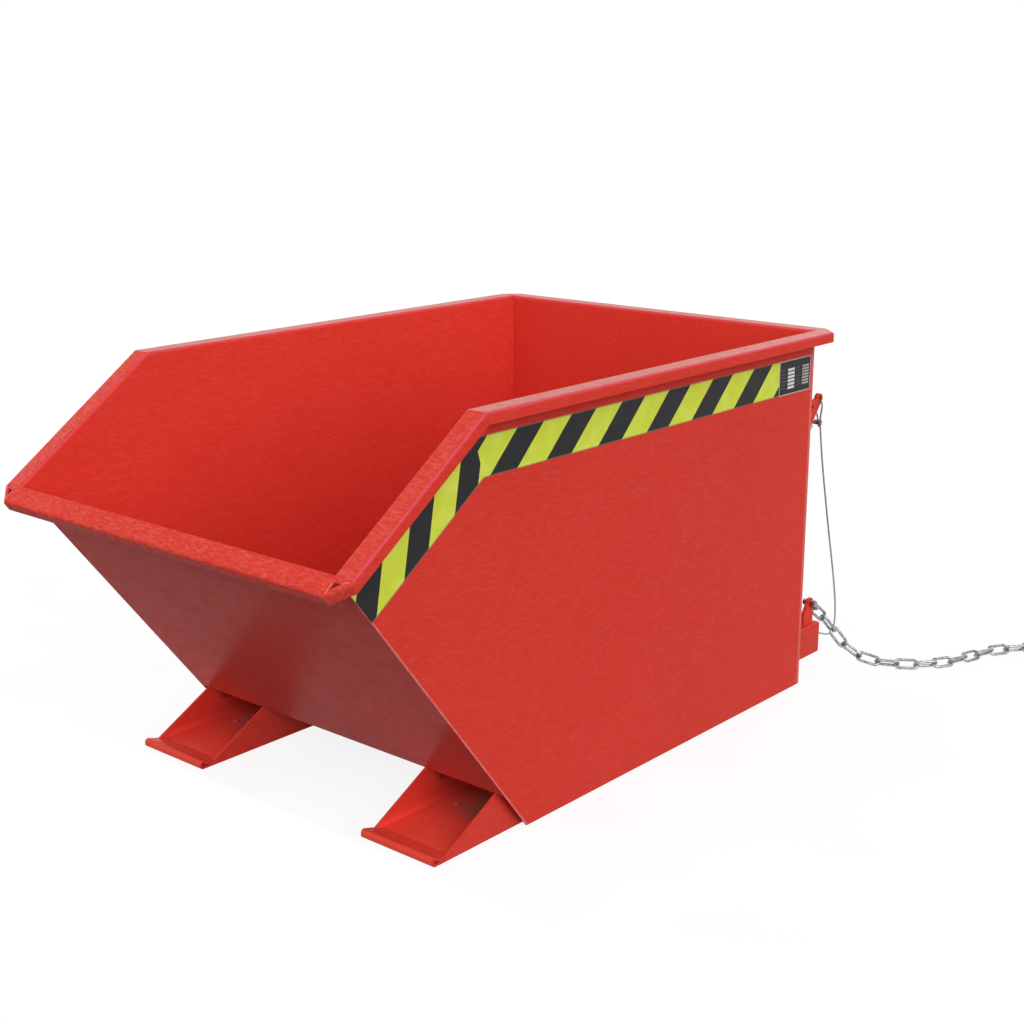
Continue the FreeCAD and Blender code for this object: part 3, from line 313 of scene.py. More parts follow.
def bend_glint(paint, x, y, z):
    """Where a highlight is painted on the rim's bends: near the brim's outer or the wall's inner face,
    and less than a bend below the mouth. The depth below the mouth is the lesser of the depths below its
    level and its sloped run; the reach outwards is the greater of |x| and the place behind the rear wall.
    Gives the painted bends, the level and the sloped top of the rim, |x| and y from REAR."""
    across = paint.calc("ABSOLUTE", x)
    behind = paint.calc("SUBTRACT", y, REAR)
    level = paint.calc("SUBTRACT", TOP, z)
    ahead = paint.both(paint.calc("SUBTRACT", behind, KINK_Y), -MOUTH[1])
    depth = paint.calc("MINIMUM", level, paint.calc("MULTIPLY_ADD", level, -MOUTH[0], ahead))
    brim = paint.calc("MAXIMUM", across, paint.calc("ADD", behind, HALF_WIDTH))
    outer = paint.ease(brim, BRIM - BEND_FAR, BRIM - BEND_NEAR)
    inner = paint.ease(brim, INSIDE + BEND_FAR, INSIDE + BEND_NEAR, 0.0, 0.55)
    bend = paint.both(paint.calc("MAXIMUM", outer, inner), paint.ease(depth, BEND_FAR, BEND_NEAR))
    top = paint.ease(level, EDGE_FAR, EDGE_NEAR)
    sloped = paint.both(paint.ease(depth, EDGE_FAR, EDGE_NEAR),
                        paint.ease(level, SLOPE_START, SLOPE_FULL))
    return bend, top, sloped, across, behind


def brush_strokes(paint, tone, share):
    """Short pale and dark strokes of a brush over the tone, where the share is 1."""
    for turn, shade, most in ((0.5, RED_PALE, 0.55), (0.3, RED_DARK, 0.30)):
        stroke = paint.noise(1.0, 5.0, 0.62, paint.stretched((58, 160, 160), (0.0, 0.0, turn)))
        mark = paint.both(paint.ease(stroke, 0.42, 0.68, 0.0, most), share)
        tone = paint.mix(mark, tone, shade)
    return tone


def folded_sheet_wear_and_highlights(paint, tone, x, y, z):
    """Wear and painted light of the folded sheets: chalk and a painted sheen on the rim's level top,
    brush strokes on its sloped run, pale cut edges along the front and the rear of the side panels,
    which are wear and a painted highlight, and a painted highlight on the bends."""
    bend, top, sloped, across, behind = bend_glint(paint, x, y, z)
    brushed = paint.noise(1.0, 4.0, 0.62, paint.stretched((160, 30, 160)))
    # Chalk and a painted sheen on the rim's level top
    chalk_and_sheen = paint.both(top, paint.ease(brushed, 0.3, 0.7, 0.26, 0.56))
    tone = brush_strokes(paint, paint.mix(chalk_and_sheen, tone, CHALK_AND_SHEEN), sloped)
    ahead = paint.calc("MULTIPLY_ADD", paint.calc("SUBTRACT", z, PANEL_LIFT), PLATE_SLOPE, behind)
    ahead = paint.both(paint.calc("ADD", ahead, BASE_LENGTH), PLATE_SIN)
    # Pale cut edges at the front and rear: wear and a painted highlight
    front_cut = paint.ease(ahead, CUT_FAR, CUT_NEAR)
    cut = paint.calc("MAXIMUM", front_cut, paint.ease(behind, REAR_CUT_FAR, REAR_CUT_NEAR))
    face = paint.both(paint.calc("GREATER_THAN", across, HALF_WIDTH - SKIN),
                      paint.calc("LESS_THAN", across, HALF_WIDTH + SKIN))
    wear_and_highlight = paint.ease(paint.noise(70, 4.0, 0.6), 0.30, 0.62, 0.40, 0.80)
    tone = paint.mix(paint.both(paint.both(cut, face), wear_and_highlight), tone, RED_WORN_AND_HIGHLIGHT)
    # Painted highlight on the bends
    caught = paint.both(bend, paint.ease(brushed, 0.25, 0.6, 0.45, 0.75))
    return paint.mix(caught, tone, RED_GLINT)


def brushed_lip_and_reflection(paint, tone, y, z):
    """Brush strokes on the lip's flat, and a grey film on the outside of the plate below it, which is a
    painted reflection of the ground.
    """
    lip = paint.ease(y, REAR + LIP_Y + LIP_BACK, REAR + LIP_Y - LIP_AHEAD)
    tone = brush_strokes(paint, tone, lip)
    # A grey film on the plate's outside: a painted reflection
    ahead = paint.calc("MULTIPLY_ADD", paint.calc("SUBTRACT", z, PANEL_LIFT), PLATE_SLOPE, y)
    outside = paint.both(paint.ease(ahead, PLATE_FRONT + PLATE_FAR, PLATE_FRONT + PLATE_NEAR),
                         paint.ease(z, LIP_Z - REFLECTION_START, LIP_Z - REFLECTION_FULL))
    grain = paint.noise(1.0, 5.0, 0.66, paint.stretched((70, 130, 130)))
    film = paint.both(paint.ease(grain, 0.36, 0.66, 0.06, 0.34), outside)
    return paint.mix(film, tone, GREY_PAINTED_REFLECTION)


def soiled_tray_light_and_shade(paint, tone, rough, x, y, z):
    """Inside the skids: a floor painted lighter as painted light, with soil and dust, and grey grime with
    painted shade at the back that thickens towards each tray's right wall. Gives the tone and the
    roughness."""
    across = paint.calc("ABSOLUTE", x)
    inner = paint.both(paint.ease(across, SKID_IN + WALL_NEAR, SKID_IN + WALL_FAR),
                       paint.ease(across, SKID_OUT - WALL_NEAR, SKID_OUT - WALL_FAR))
    floor = paint.both(paint.ease(z, TRAY_FADE, TRAY_FLOOR), inner)
    # The tray floor is painted lighter: painted light
    tone = paint.mix(paint.both(floor, 0.9), tone, TRAY_PAINTED_LIGHT_RED)
    pitch = SKID_IN + SKID_OUT
    turn = paint.calc("FRACT", paint.calc("DIVIDE", paint.calc("ADD", x, SKID_OUT), pitch))
    from_left = paint.both(turn, pitch)
    # Grey grime and painted shade at the back of each tray, more towards its right wall
    deep_shade = paint.both(paint.ease(y, GRIME_SHADE_START, GRIME_SHADE_FULL, 0.0, 0.88),
                      paint.both(paint.ease(z, GRIME_SHADE_TOP, GRIME_SHADE_FOOT), inner))
    deep_shade = paint.both(deep_shade, paint.ease(from_left, 0.0, GRIME_SHADE_ACROSS, 0.06, 1.0))
    tone = paint.mix(deep_shade, tone, GRIME_AND_SHADE)
    film = paint.ease(paint.noise(17, 5.0, 0.62), 0.48, 0.78, 0.0, 0.10)
    tone = paint.mix(paint.both(film, floor), tone, SOIL)
    speck = paint.ease(paint.noise(150, 2.0, 0.5), 0.70, 0.76, 0.0, 0.6)
    tone = paint.mix(paint.both(speck, floor), tone, DUST)
    return tone, paint.calc("ADD", rough, paint.both(film, floor))


def red_enamel(name, low=RED_LOW, high=RED_HIGH, sheet=False, lip=False, tray=False, gloss=1.16):
    """Sprayed enamel on sheet steel: slow changes of tone, short level streaks and pale flecks, orange
    peel and a little unevenness of the sheet, with the wear, painted light and painted shade of the
    piece that carries it."""
    paint = Finish(name)
    place = paint.split(paint.place)
    x, y, z = (place[axis] for axis in "XYZ")
    tone = paint.mix(paint.noise(3.2, 4.0), low, high)
    fleck = paint.noise(1.0, 5.0, 0.6, paint.stretched((210, 90, 160), (0.35, 0.2, 0.5)))
    fleck = paint.ease(fleck, 0.54, 0.78, 0.0, 0.26)
    streak = paint.noise(1.0, 4.0, 0.6, paint.stretched((60, 38, 330)))
    streak = paint.ease(streak, 0.44, 0.72, 0.0, 0.27)
    tone = paint.mix(paint.calc("MAXIMUM", fleck, streak), tone, RED_PALE)
    rough = paint.ease(paint.noise(34, 4.0, 0.6), 0.3, 0.7, 0.27, 0.40)
    if sheet:
        tone = folded_sheet_wear_and_highlights(paint, tone, x, y, z)
    if lip:
        tone = brushed_lip_and_reflection(paint, tone, y, z)
    if tray:
        tone, rough = soiled_tray_light_and_shade(paint, tone, rough, x, y, z)
    sheet_wave = paint.bump(paint.noise(4.2, 2.0, 0.4), 0.004, 0.25)
    peel = paint.bump(paint.noise(330, 2.0, 0.45), 0.0003, 0.35, sheet_wave)
    return paint.done(Base_Color=tone, Roughness=rough, Normal=peel, IOR=gloss)


def galvanised(name):
    """Hot-dip zinc: small spangles of differing grey, dull, with fine grain."""
    zinc = Finish(name)
    cell = zinc.add("ShaderNodeTexVoronoi", Vector=zinc.place)
    cell.inputs["Scale"].default_value = 170
    shade = zinc.split(cell.outputs["Color"])["X"]
    tone = zinc.mix(shade, colour(132, 133, 134), colour(180, 182, 184))
    stain = zinc.ease(zinc.noise(60, 5.0, 0.6), 0.50, 0.75, 0.0, 0.6)
    tone = zinc.mix(stain, tone, colour(112, 108, 102))
    rough = zinc.ease(zinc.noise(140, 3.0), 0.3, 0.7, 0.22, 0.40)
    grain = zinc.bump(zinc.noise(700, 3.0), 0.0002, 0.4)
    return zinc.done(Base_Color=tone, Roughness=rough, Normal=grain, Metallic=0.92)


def bright_zinc(name):
    """Turned and zinc-plated pins: fine rings along X, a faint warm cast."""
    zinc = Finish(name)
    rings = zinc.noise(1.0, 3.0, 0.6, zinc.stretched((1400, 30, 30)))
    tone = zinc.mix(rings, colour(176, 174, 166), colour(214, 213, 208))
    rough = zinc.ease(rings, 0.3, 0.7, 0.22, 0.38)
    return zinc.done(Base_Color=tone, Roughness=rough, Metallic=0.95,
                     Normal=zinc.bump(rings, 0.0001, 0.5))


def bronze(name):
    """Machined bronze with turning marks and darker oil traces."""
    metal = Finish(name)
    rings = metal.noise(1.0, 3.0, 0.6, metal.stretched((1600, 40, 40)))
    tone = metal.mix(rings, colour(164, 118, 62), colour(206, 160, 96))
    tone = metal.mix(metal.ease(metal.noise(90, 4.0), 0.5, 0.72, 0.0, 0.6), tone, colour(86, 60, 36))
    return metal.done(Base_Color=tone, Roughness=metal.ease(rings, 0.3, 0.7, 0.28, 0.45), Metallic=0.95,
                      Normal=metal.bump(rings, 0.0001, 0.5))


STRIPE_PITCH = 0.1720
STRIPE_SHIFT = 1.2170
BLACK_SHARE = 0.478
TAPE_WIDTH = 0.084
TAPE_EDGE = 0.0022


def hazard_print(name):
    """Slanting black stripes on fluorescent film: stripes by the UV's U in metres, a grey line along both
    long edges by V that is a painted highlight of the edges, and a fine bead grain."""
    film = Finish(name)
    place = film.split(film.uv())
    along = film.calc("ADD", place["X"], STRIPE_SHIFT)
    turn = film.calc("FRACT", film.calc("DIVIDE", along, STRIPE_PITCH))
    black = film.calc("LESS_THAN", turn, BLACK_SHARE)
    grain = film.noise(900, 3.0, 0.6)
    cloud = film.noise(22, 4.0, 0.55)
    lime = film.mix(film.ease(cloud, 0.35, 0.7), colour(210, 222, 66), colour(220, 231, 88))
    ink = film.mix(film.ease(grain, 0.4, 0.7), colour(26, 26, 27), colour(46, 46, 47))
    tone = film.mix(black, lime, ink)
    # Grey line along both long edges: a painted highlight
    middle = film.calc("ABSOLUTE", film.calc("SUBTRACT", place["Y"], TAPE_WIDTH / 2))
    rim = film.calc("GREATER_THAN", middle, TAPE_WIDTH / 2 - TAPE_EDGE)
    tone = film.mix(film.both(rim, 0.6), tone, colour(120, 118, 110))
    return film.done(Base_Color=tone, Roughness=film.ease(cloud, 0.3, 0.7, 0.36, 0.5),
                     Normal=film.bump(grain, 0.00012, 0.5), Specular_IOR_Level=0.15)


def printed_plate(name, low, high, rough):
    """Screen-printed metal plate: one colour with slight wear and grain."""
    ink = Finish(name)
    wear = ink.noise(240, 4.0, 0.6)
    tone = ink.mix(ink.ease(wear, 0.35, 0.7), low, high)
    dull = ink.ease(ink.noise(60), 0.3, 0.7, rough - 0.06, rough + 0.08)
    return ink.done(Base_Color=tone, Roughness=dull, Normal=ink.bump(wear, 0.0001, 0.3),
                    Specular_IOR_Level=0.12)


WIRES_AROUND = 48.0
WIRES_ALONG = 240.0


def wire_strands(name):
    """Drawn zinc wires laid in strands: wires run across the strands' twist by the UV map, darker where
    they meet."""
    wire = Finish(name)
    place = wire.split(wire.uv())
    run = wire.calc("ADD", wire.both(place["X"], WIRES_AROUND), wire.both(place["Y"], WIRES_ALONG))
    ridge = wire.calc("ABSOLUTE", wire.calc("SUBTRACT", wire.calc("FRACT", run), 0.5))
    tone = wire.mix(wire.ease(ridge, 0.05, 0.4), colour(206, 207, 208), colour(120, 120, 121))
    stain = wire.ease(wire.noise(75, 4.0), 0.48, 0.72, 0.0, 0.55)
    tone = wire.mix(stain, tone, colour(104, 98, 90))
    rough = wire.ease(wire.noise(200), 0.3, 0.7, 0.3, 0.46)
    return wire.done(Base_Color=tone, Roughness=rough, Metallic=0.9, Normal=wire.bump(ridge, 0.0002, 0.6))


ENAMEL = red_enamel("red_enamel")
# The sheet enamel carries painted highlights and a painted sheen, the lip enamel a painted reflection,
# the tray enamel painted light and painted shade
SHEET_ENAMEL = red_enamel("red_enamel_sheet", sheet=True, gloss=1.13)
LIP_ENAMEL = red_enamel("red_enamel_lip", lip=True, gloss=1.06)
SEAM_HIGHLIGHT_ENAMEL = red_enamel("red_enamel_seam_painted_highlight", SEAM_HIGHLIGHT_LOW, SEAM_HIGHLIGHT_HIGH)
TRAY_ENAMEL = red_enamel("red_enamel_tray", tray=True)
HINGE_SHADED_ENAMEL = red_enamel("red_enamel_hinge_painted_shade", HINGE_SHADED_LOW, HINGE_SHADED_HIGH)
ZINC = galvanised("galvanised_zinc")
PIN = bright_zinc("bright_zinc_pin")
BRONZE = bronze("turned_bronze")
HAZARD = hazard_print("hazard_film")
PLATE_BLACK = printed_plate("plate_black", colour(30, 31, 32), colour(44, 45, 46), 0.34)
PLATE_PALE = printed_plate("plate_pale", colour(216, 214, 210), colour(238, 237, 234), 0.42)
PLATE_GREY = printed_plate("plate_grey", colour(168, 160, 155), colour(192, 184, 179), 0.42)
PLATE_DIM = printed_plate("plate_dim", colour(84, 86, 88), colour(104, 106, 108), 0.42)
STRANDS = wire_strands("wire_strands")

SLOT_FINISH = {"red_paint": ENAMEL, "galvanised": ZINC, "bright_steel": PIN, "bronze": BRONZE,
               "hazard_tape": HAZARD, "label": PLATE_BLACK}
OWN_FINISH = {"front_plate": LIP_ENAMEL, "rim_corner_front_left": LIP_ENAMEL,
              "rim_corner_front_right": LIP_ENAMEL, "rear_wall": SHEET_ENAMEL,
              "side_panel_left": SHEET_ENAMEL, "side_panel_right": SHEET_ENAMEL,
              "rim_corner_rear_left": SHEET_ENAMEL, "rim_corner_rear_right": SHEET_ENAMEL,
              "skid_left": TRAY_ENAMEL, "skid_right": TRAY_ENAMEL}
OWN_FINISH.update({f"hinge_{kind}_{hand}_{side}": HINGE_SHADED_ENAMEL for kind in ("ear", "lug")
                   for hand in ("left", "right") for side in ("outer", "inner")})
for entry in frame["record"]["subparts"]:
    mesh = NODES[entry["node"]].data
    mesh.materials.clear()
    mesh.materials.append(OWN_FINISH.get(entry["node"], SLOT_FINISH[entry["material_slot"]]))

# Release rope
ROPE_DIAMETER = 0.005
ROPE_LAY = 0.034
STRAND_COUNT = 6
ROPE_START = spot(0.4496, 0.12576, 0.67017)
HANG = np.array([0, math.sin(math.radians(10)), -math.cos(math.radians(10))])
ROPE_DROP = 0.068
ROPE_STEP = 0.0026
ROPE_AROUND = 48
LINE_ORDER = 3
LINE_STEPS = 24
ROPE_ROUTE = [
    (0.450, 0.153, 0.537), (0.450, 0.170, 0.471), (0.449, 0.189, 0.406), (0.447, 0.210, 0.342),
    (0.444, 0.233, 0.279), (0.439, 0.258, 0.217), (0.431, 0.285, 0.157), (0.419, 0.313, 0.100),
    (0.402, 0.340, 0.050), (0.376, 0.365, 0.014), (0.330, 0.386, 0.0028), (0.270, 0.400, 0.0027),
    (0.208, 0.406, 0.0027), (0.146, 0.402, 0.0027), (0.085, 0.391, 0.0027), (0.024, 0.379, 0.0027),
    (-0.038, 0.373, 0.0027), (-0.100, 0.377, 0.0027), (-0.160, 0.391, 0.0027),
]
EYE_LOOP = [(0.0026, 0.066), (0.0026, 0.050), (0.011, 0.016), (0.011, 0.0), (0.0, 0.0), (-0.011, 0.0),
            (-0.011, 0.016), (-0.0026, 0.050), (-0.0026, 0.072)]
END_LOOP = [(0.0026, 0.020), (0.0026, 0.038), (0.028, 0.084), (0.028, 0.120), (-0.028, 0.120),
            (-0.028, 0.084), (-0.0026, 0.038), (-0.0026, 0.020)]


def smooth_line(name, route):
    """Points of a NURBS line with the route as its control points, as Blender gives them."""
    curve = bpy.data.curves.new(name, "CURVE")
    curve.dimensions = "3D"
    spline = curve.splines.new("NURBS")
    spline.points.add(len(route) - 1)
    route = np.asarray(route, float)
    spline.points.foreach_set("co", np.column_stack([route, np.ones(len(route))]).ravel())
    spline.order_u = LINE_ORDER
    spline.use_endpoint_u = True
    spline.resolution_u = LINE_STEPS
    holder = bpy.data.objects.new(name, curve)
    line = bpy.data.meshes.new_from_object(holder)
    points = np.empty(len(line.vertices) * 3)
    line.vertices.foreach_get("co", points)
    bpy.data.objects.remove(holder)
    bpy.data.meshes.remove(line)
    bpy.data.curves.remove(curve)
    return points.reshape(-1, 3)


def laid_rope(name, path, reference, body):
    """Six round strands about a line: the outline across is the outer edge of six circles that touch, at
    c cos d + sqrt(r r - c c sin d sin d) from the middle, and turns once in each length of lay. The UV
    map runs from 1 to 0 and back around the rope, and in metres along it."""
    path = spaced(path, ROPE_STEP)
    along = arc_length(path)
    strand = ROPE_DIAMETER / 6
    centre = ROPE_DIAMETER / 3
    angle = np.linspace(0, 2 * math.pi, ROPE_AROUND, endpoint=False)
    sector = 2 * math.pi / STRAND_COUNT
    inside = np.mod(angle, sector) - sector / 2
    reach = centre * np.cos(inside) + np.sqrt(np.maximum(strand ** 2 - (centre * np.sin(inside)) ** 2, 0))
    turn = angle[None] + 2 * math.pi * along[:, None] / ROPE_LAY
    points = rings_along(path, reference, np.broadcast_to(reach, turn.shape), turn)
    share = np.abs(np.mod(angle / (2 * math.pi) * 2, 2) - 1)
    uv = np.stack(np.broadcast_arrays(share[None], along[:, None]), -1)
    return new_piece(name, points, tube_faces(len(path), len(angle)), STRANDS, body, uv), path


def in_plane(origin, across, down, loop):
    """Points of a flat loop, given as distances across and down from its origin."""
    loop = np.array(loop)
    return origin + loop[:, :1] * across + loop[:, 1:] * down


route = [ROPE_START, ROPE_START + HANG * ROPE_DROP] + [spot(*point) for point in ROPE_ROUTE]
end_along = (route[-1] - route[-2]) / np.linalg.norm(route[-1] - route[-2])
end_across = np.cross(end_along, (0, 0, 1))
route += list(in_plane(route[-1], end_across, end_along, END_LOOP))
rope, rope_path = laid_rope("release_rope", smooth_line("rope_route", route), (0, 1, 0), None)
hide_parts("rope_line", "rope_end_eye")

sideways = np.array([1.0, 0, 0])
eye_origin = ROPE_START - HANG * EYE_LOOP[0][1] - sideways * EYE_LOOP[0][0]
eye_line = smooth_line("eye_route", in_plane(eye_origin, sideways, HANG, EYE_LOOP))
eye, _ = laid_rope("release_rope_eye", eye_line, np.cross(sideways, HANG), "latch")
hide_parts("rope_eye")

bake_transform(rope)

# Hazard tape
TAPE_TOP = 0.059
TAPE_BOTTOM = TAPE_TOP + TAPE_WIDTH
TAPE_LIFT = 0.0004
TAPE_FACE = HALF_WIDTH + TAPE_LIFT
TAPE_THICK = 0.0003
LABEL_FRONT = -0.160
TAPE_REAR = {"right": LABEL_FRONT, "left": -0.016}
TAPE_INSET = 0.001
SLOPE_SHIFT = 1.1140


def on_plate(depth):
    """Where the side panel's front edge lies a depth below the mouth, as y and z."""
    fold_sin = PLATE_COS * -MOUTH[1] + PLATE_SIN * -MOUTH[0]
    share = depth / fold_sin
    return np.array([LIP_Y + share * PLATE_COS, LIP_Z - share * PLATE_SIN])


def tape_strip(ends_top, ends_bottom, count=40):
    """A ruled strip between an upper and a lower line, as y and z of a count x 2 grid."""
    share = np.linspace(0, 1, count)[:, None]
    top = ends_top[0] + share * (ends_top[1] - ends_top[0])
    bottom = ends_bottom[0] + share * (ends_bottom[1] - ends_bottom[0])
    return np.stack([bottom, top], 1)


for sign, hand in SIDES:
    rear = TAPE_REAR[hand]
    kink_top = np.array([KINK_Y + TAPE_TOP * MITRE, TOP - TAPE_TOP])
    kink_low = np.array([KINK_Y + TAPE_BOTTOM * MITRE, TOP - TAPE_BOTTOM])
    inset = np.array([TAPE_INSET, 0])
    rear_top = np.array([rear, TOP - TAPE_TOP])
    rear_low = np.array([rear, TOP - TAPE_BOTTOM])
    upper = tape_strip((kink_top, rear_top), (kink_low, rear_low))
    sloped = tape_strip((on_plate(TAPE_TOP) + inset, kink_top), (on_plate(TAPE_BOTTOM) + inset, kink_low))
    height = upper[..., 1] - (TOP - TAPE_BOTTOM)
    upper_uv = np.stack([upper[..., 0] - height, height], -1)
    along = (sloped - kink_low) @ -MOUTH
    rise = (sloped - kink_low) @ np.array([MOUTH[1], -MOUTH[0]])
    sloped_uv = np.stack([along - rise - SLOPE_SHIFT, rise], -1)
    flat = np.concatenate([upper.reshape(-1, 2), sloped.reshape(-1, 2)])
    points = np.column_stack([np.full(len(flat), sign * TAPE_FACE), flat[:, 0] + REAR, flat[:, 1]])
    uv = np.concatenate([upper_uv.reshape(-1, 2), sloped_uv.reshape(-1, 2)])
    faces = np.array(grid_faces(len(upper), 2) + grid_faces(len(sloped), 2, offset=2 * len(upper)))
    tape = new_piece("hazard_film_" + hand, points, (faces[:, ::-1] if sign > 0 else faces).tolist(),
                     HAZARD, "container", uv, smooth=False)
    film = tape.modifiers.new("film", "SOLIDIFY")
    film.thickness = TAPE_THICK
    film.offset = -1
    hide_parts("hazard_tape_" + hand)

# Rating plate
LABEL_LOW, LABEL_HIGH = (np.array(corner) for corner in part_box("rating_plate"))
LABEL_THICK = 0.0007
LABEL_ROUND = 0.0003
FIELD_FOOT, FIELD_TOP = 0.0006, 0.00085
LEFT_ROWS = np.linspace(0.165, 0.680, 6)
LEFT_FIELD = (0.27, 0.48)
LEFT_HEIGHT = 0.070
LEFT_CAPTION = 0.07
LEFT_CAPTION_FOOT, LEFT_CAPTION_TOP = 0.026, 0.048
LEFT_CAPTION_ENDS = (0.22, 0.19, 0.23, 0.20, 0.22, 0.18)
RIGHT_ROWS = np.linspace(0.200, 0.705, 7)
RIGHT_FIELD = (0.73, 0.94)
RIGHT_HEIGHT = 0.056
RIGHT_CAPTION = 0.54
RIGHT_CAPTION_FOOT, RIGHT_CAPTION_TOP = 0.020, 0.040
RIGHT_CAPTION_ENDS = (0.67, 0.70, 0.66, 0.69, 0.67, 0.70, 0.65)
BORDER_WIDE, BORDER_HIGH = 0.021, 0.034


def field_boxes(share):
    """Corners of thin boxes on the plate from shares of its length and height, two of each."""
    size = LABEL_HIGH - LABEL_LOW
    y, z = (LABEL_LOW[axis] + share[:, 2 * axis - 2:2 * axis] * size[axis] for axis in (1, 2))
    low = np.column_stack([np.full(len(share), LABEL_LOW[0] + FIELD_FOOT), y[:, 0], z[:, 0]])
    high = np.column_stack([np.full(len(share), LABEL_LOW[0] + FIELD_TOP), y[:, 1], z[:, 1]])
    return low, high


def plate_fields():
    """A column of blank fields, by shares of the plate."""
    return field_boxes(np.array([[*LEFT_FIELD, row, row + LEFT_HEIGHT] for row in LEFT_ROWS]))


def plate_rows():
    """A second column of lower fields, and a line round the edge."""
    right = np.array([[*RIGHT_FIELD, row, row + RIGHT_HEIGHT] for row in RIGHT_ROWS])
    far, top = 1 - BORDER_WIDE, 1 - BORDER_HIGH
    edge = np.array([[0, 1, 0, BORDER_HIGH], [0, 1, top, 1],
                     [0, BORDER_WIDE, BORDER_HIGH, top], [far, 1, BORDER_HIGH, top]])
    return field_boxes(np.concatenate([right, edge]))


def plate_captions():
    """Short dim bars in front of the rows, one for each."""
    left = np.array([[LEFT_CAPTION, end, row + LEFT_CAPTION_FOOT, row + LEFT_CAPTION_TOP]
                     for row, end in zip(LEFT_ROWS, LEFT_CAPTION_ENDS)])
    right = np.array([[RIGHT_CAPTION, end, row + RIGHT_CAPTION_FOOT, row + RIGHT_CAPTION_TOP]
                      for row, end in zip(RIGHT_ROWS, RIGHT_CAPTION_ENDS)])
    return field_boxes(np.concatenate([left, right]))


plate_top = np.array([LABEL_LOW[0] + LABEL_THICK, LABEL_HIGH[1], LABEL_HIGH[2]])
plate = new_piece("rating_plate_blank", *boxes([LABEL_LOW], [plate_top]), PLATE_BLACK, "container",
                  smooth=False)
rounding = plate.modifiers.new("edge", "BEVEL")
rounding.width = LABEL_ROUND
rounding.segments = 2
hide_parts("rating_plate")
for name, corners, finish in (("rating_plate_fields", plate_fields(), PLATE_PALE),
                              ("rating_plate_rows", plate_rows(), PLATE_GREY),
                              ("rating_plate_captions", plate_captions(), PLATE_DIM)):
    fields = new_piece(name, *boxes(*corners), finish, "container", smooth=False)

# Weld seams
BEAD_STEP = 0.0018
BEAD_RIPPLE = 0.0062
BEAD_SWELL = 0.14
BEAD_AROUND = 8
BEAD_SWAY = 0.08
SWAY_LONG, SWAY_SHORT, SWAY_LEAD = 0.031, 0.0177, 1.3
FILLET, FLUSH, FINE = 0.003, 0.0018, 0.0012
INNER_SEAM_TOP = 0.926
PLATE_SEAM_TOP = 0.672
REAR_SEAM_FOOT, REAR_SEAM_TOP = 0.15, 0.92
CATCH_INSET = 0.003
SLEEVE_INSET = 0.006
CORNER_SEAMS = (((0.011, 0.014), (0.013, 0.043), FINE),
                ((0.033, 0.012), (0.044, 0.008), FINE),
                ((0.040, 0.009), (0.047, 0.005), FLUSH))


def plate_y(z, inner=False):
    """How far forward the front plate's outer or inner face is at a height."""
    return -BASE_LENGTH - (z - PANEL_LIFT) * PLATE_SLOPE + (SHEET / PLATE_SIN if inner else 0)


def bead(start, end, radius):
    """A weld bead: a round bar whose radius swells with |sin| at every ripple and closes at both ends
    as a square root does, on a line that wanders by two sines."""
    start, end = np.asarray(start, float), np.asarray(end, float)
    length = np.linalg.norm(end - start)
    along = np.linspace(0, length, max(int(length / BEAD_STEP), 8) + 1)
    run = (end - start) / length
    reference = np.eye(3)[np.argmin(np.abs(run))]
    aside = np.cross(run, reference)
    sway = BEAD_SWAY * radius * (np.sin(along / SWAY_LONG) + np.sin(along / SWAY_SHORT + SWAY_LEAD))
    path = start + along[:, None] * run + sway[:, None] * aside
    swell = 1 - BEAD_SWELL + BEAD_SWELL * np.abs(np.sin(np.pi * along / BEAD_RIPPLE))
    close = np.sqrt(np.clip(np.minimum(along, length - along) / radius, 0.02, 1))
    turn = np.tile(np.linspace(0, 2 * math.pi, BEAD_AROUND, endpoint=False), (len(path), 1))
    return rings_along(path, reference, (radius * swell * close)[:, None] * np.ones(BEAD_AROUND), turn)


def weld_seams(name, body, runs, finish=ENAMEL):
    """The beads of one body and finish as one piece, from runs of start, end and radius."""
    beads = [bead(*run) for run in runs]
    starts = np.cumsum([0] + [len(item) * BEAD_AROUND for item in beads[:-1]])
    faces = [face for item, first in zip(beads, starts)
             for face in tube_faces(len(item), BEAD_AROUND, first)]
    piece = new_piece(name, np.concatenate([item.reshape(-1, 3) for item in beads]), faces, finish, body)


def around_box(low, high, z, radius):
    """Four runs round the foot of an upright box."""
    corner = [(low[0], low[1]), (high[0], low[1]), (high[0], high[1]), (low[0], high[1])]
    return [((*corner[i - 1], z), (*corner[i], z), radius) for i in range(4)]


def on_corner(sign, across, ahead):
    """A point on the flat of a front rim corner, from distances across the skip and along the mouth."""
    return spot(sign * (INSIDE + across), LIP_Y + ahead * MOUTH[0], LIP_Z + ahead * MOUTH[1])


corner_runs = []
plate_foot = plate_y(FLOOR_TOP, True)
hopper_runs = [(spot(-INSIDE, y, FLOOR_TOP), spot(INSIDE, y, FLOOR_TOP), FILLET)
               for y in (-SHEET, plate_foot)]
for sign, _ in SIDES:
    x = sign * INSIDE
    hopper_runs += [
        (spot(x, -SHEET, FLOOR_TOP), spot(x, -SHEET, INNER_SEAM_TOP), FILLET),
        (spot(x, -SHEET, FLOOR_TOP), spot(x, plate_foot, FLOOR_TOP), FILLET),
        (spot(x, plate_foot, FLOOR_TOP), spot(x, plate_y(PLATE_SEAM_TOP, True), PLATE_SEAM_TOP), FILLET),
        (spot(x, 0, REAR_SEAM_FOOT), spot(x, 0, REAR_SEAM_TOP), FLUSH),
    ]
    corner_runs += [(on_corner(sign, *start), on_corner(sign, *end), radius)
                    for start, end, radius in CORNER_SEAMS]
catch_low, catch_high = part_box("catch_plate")
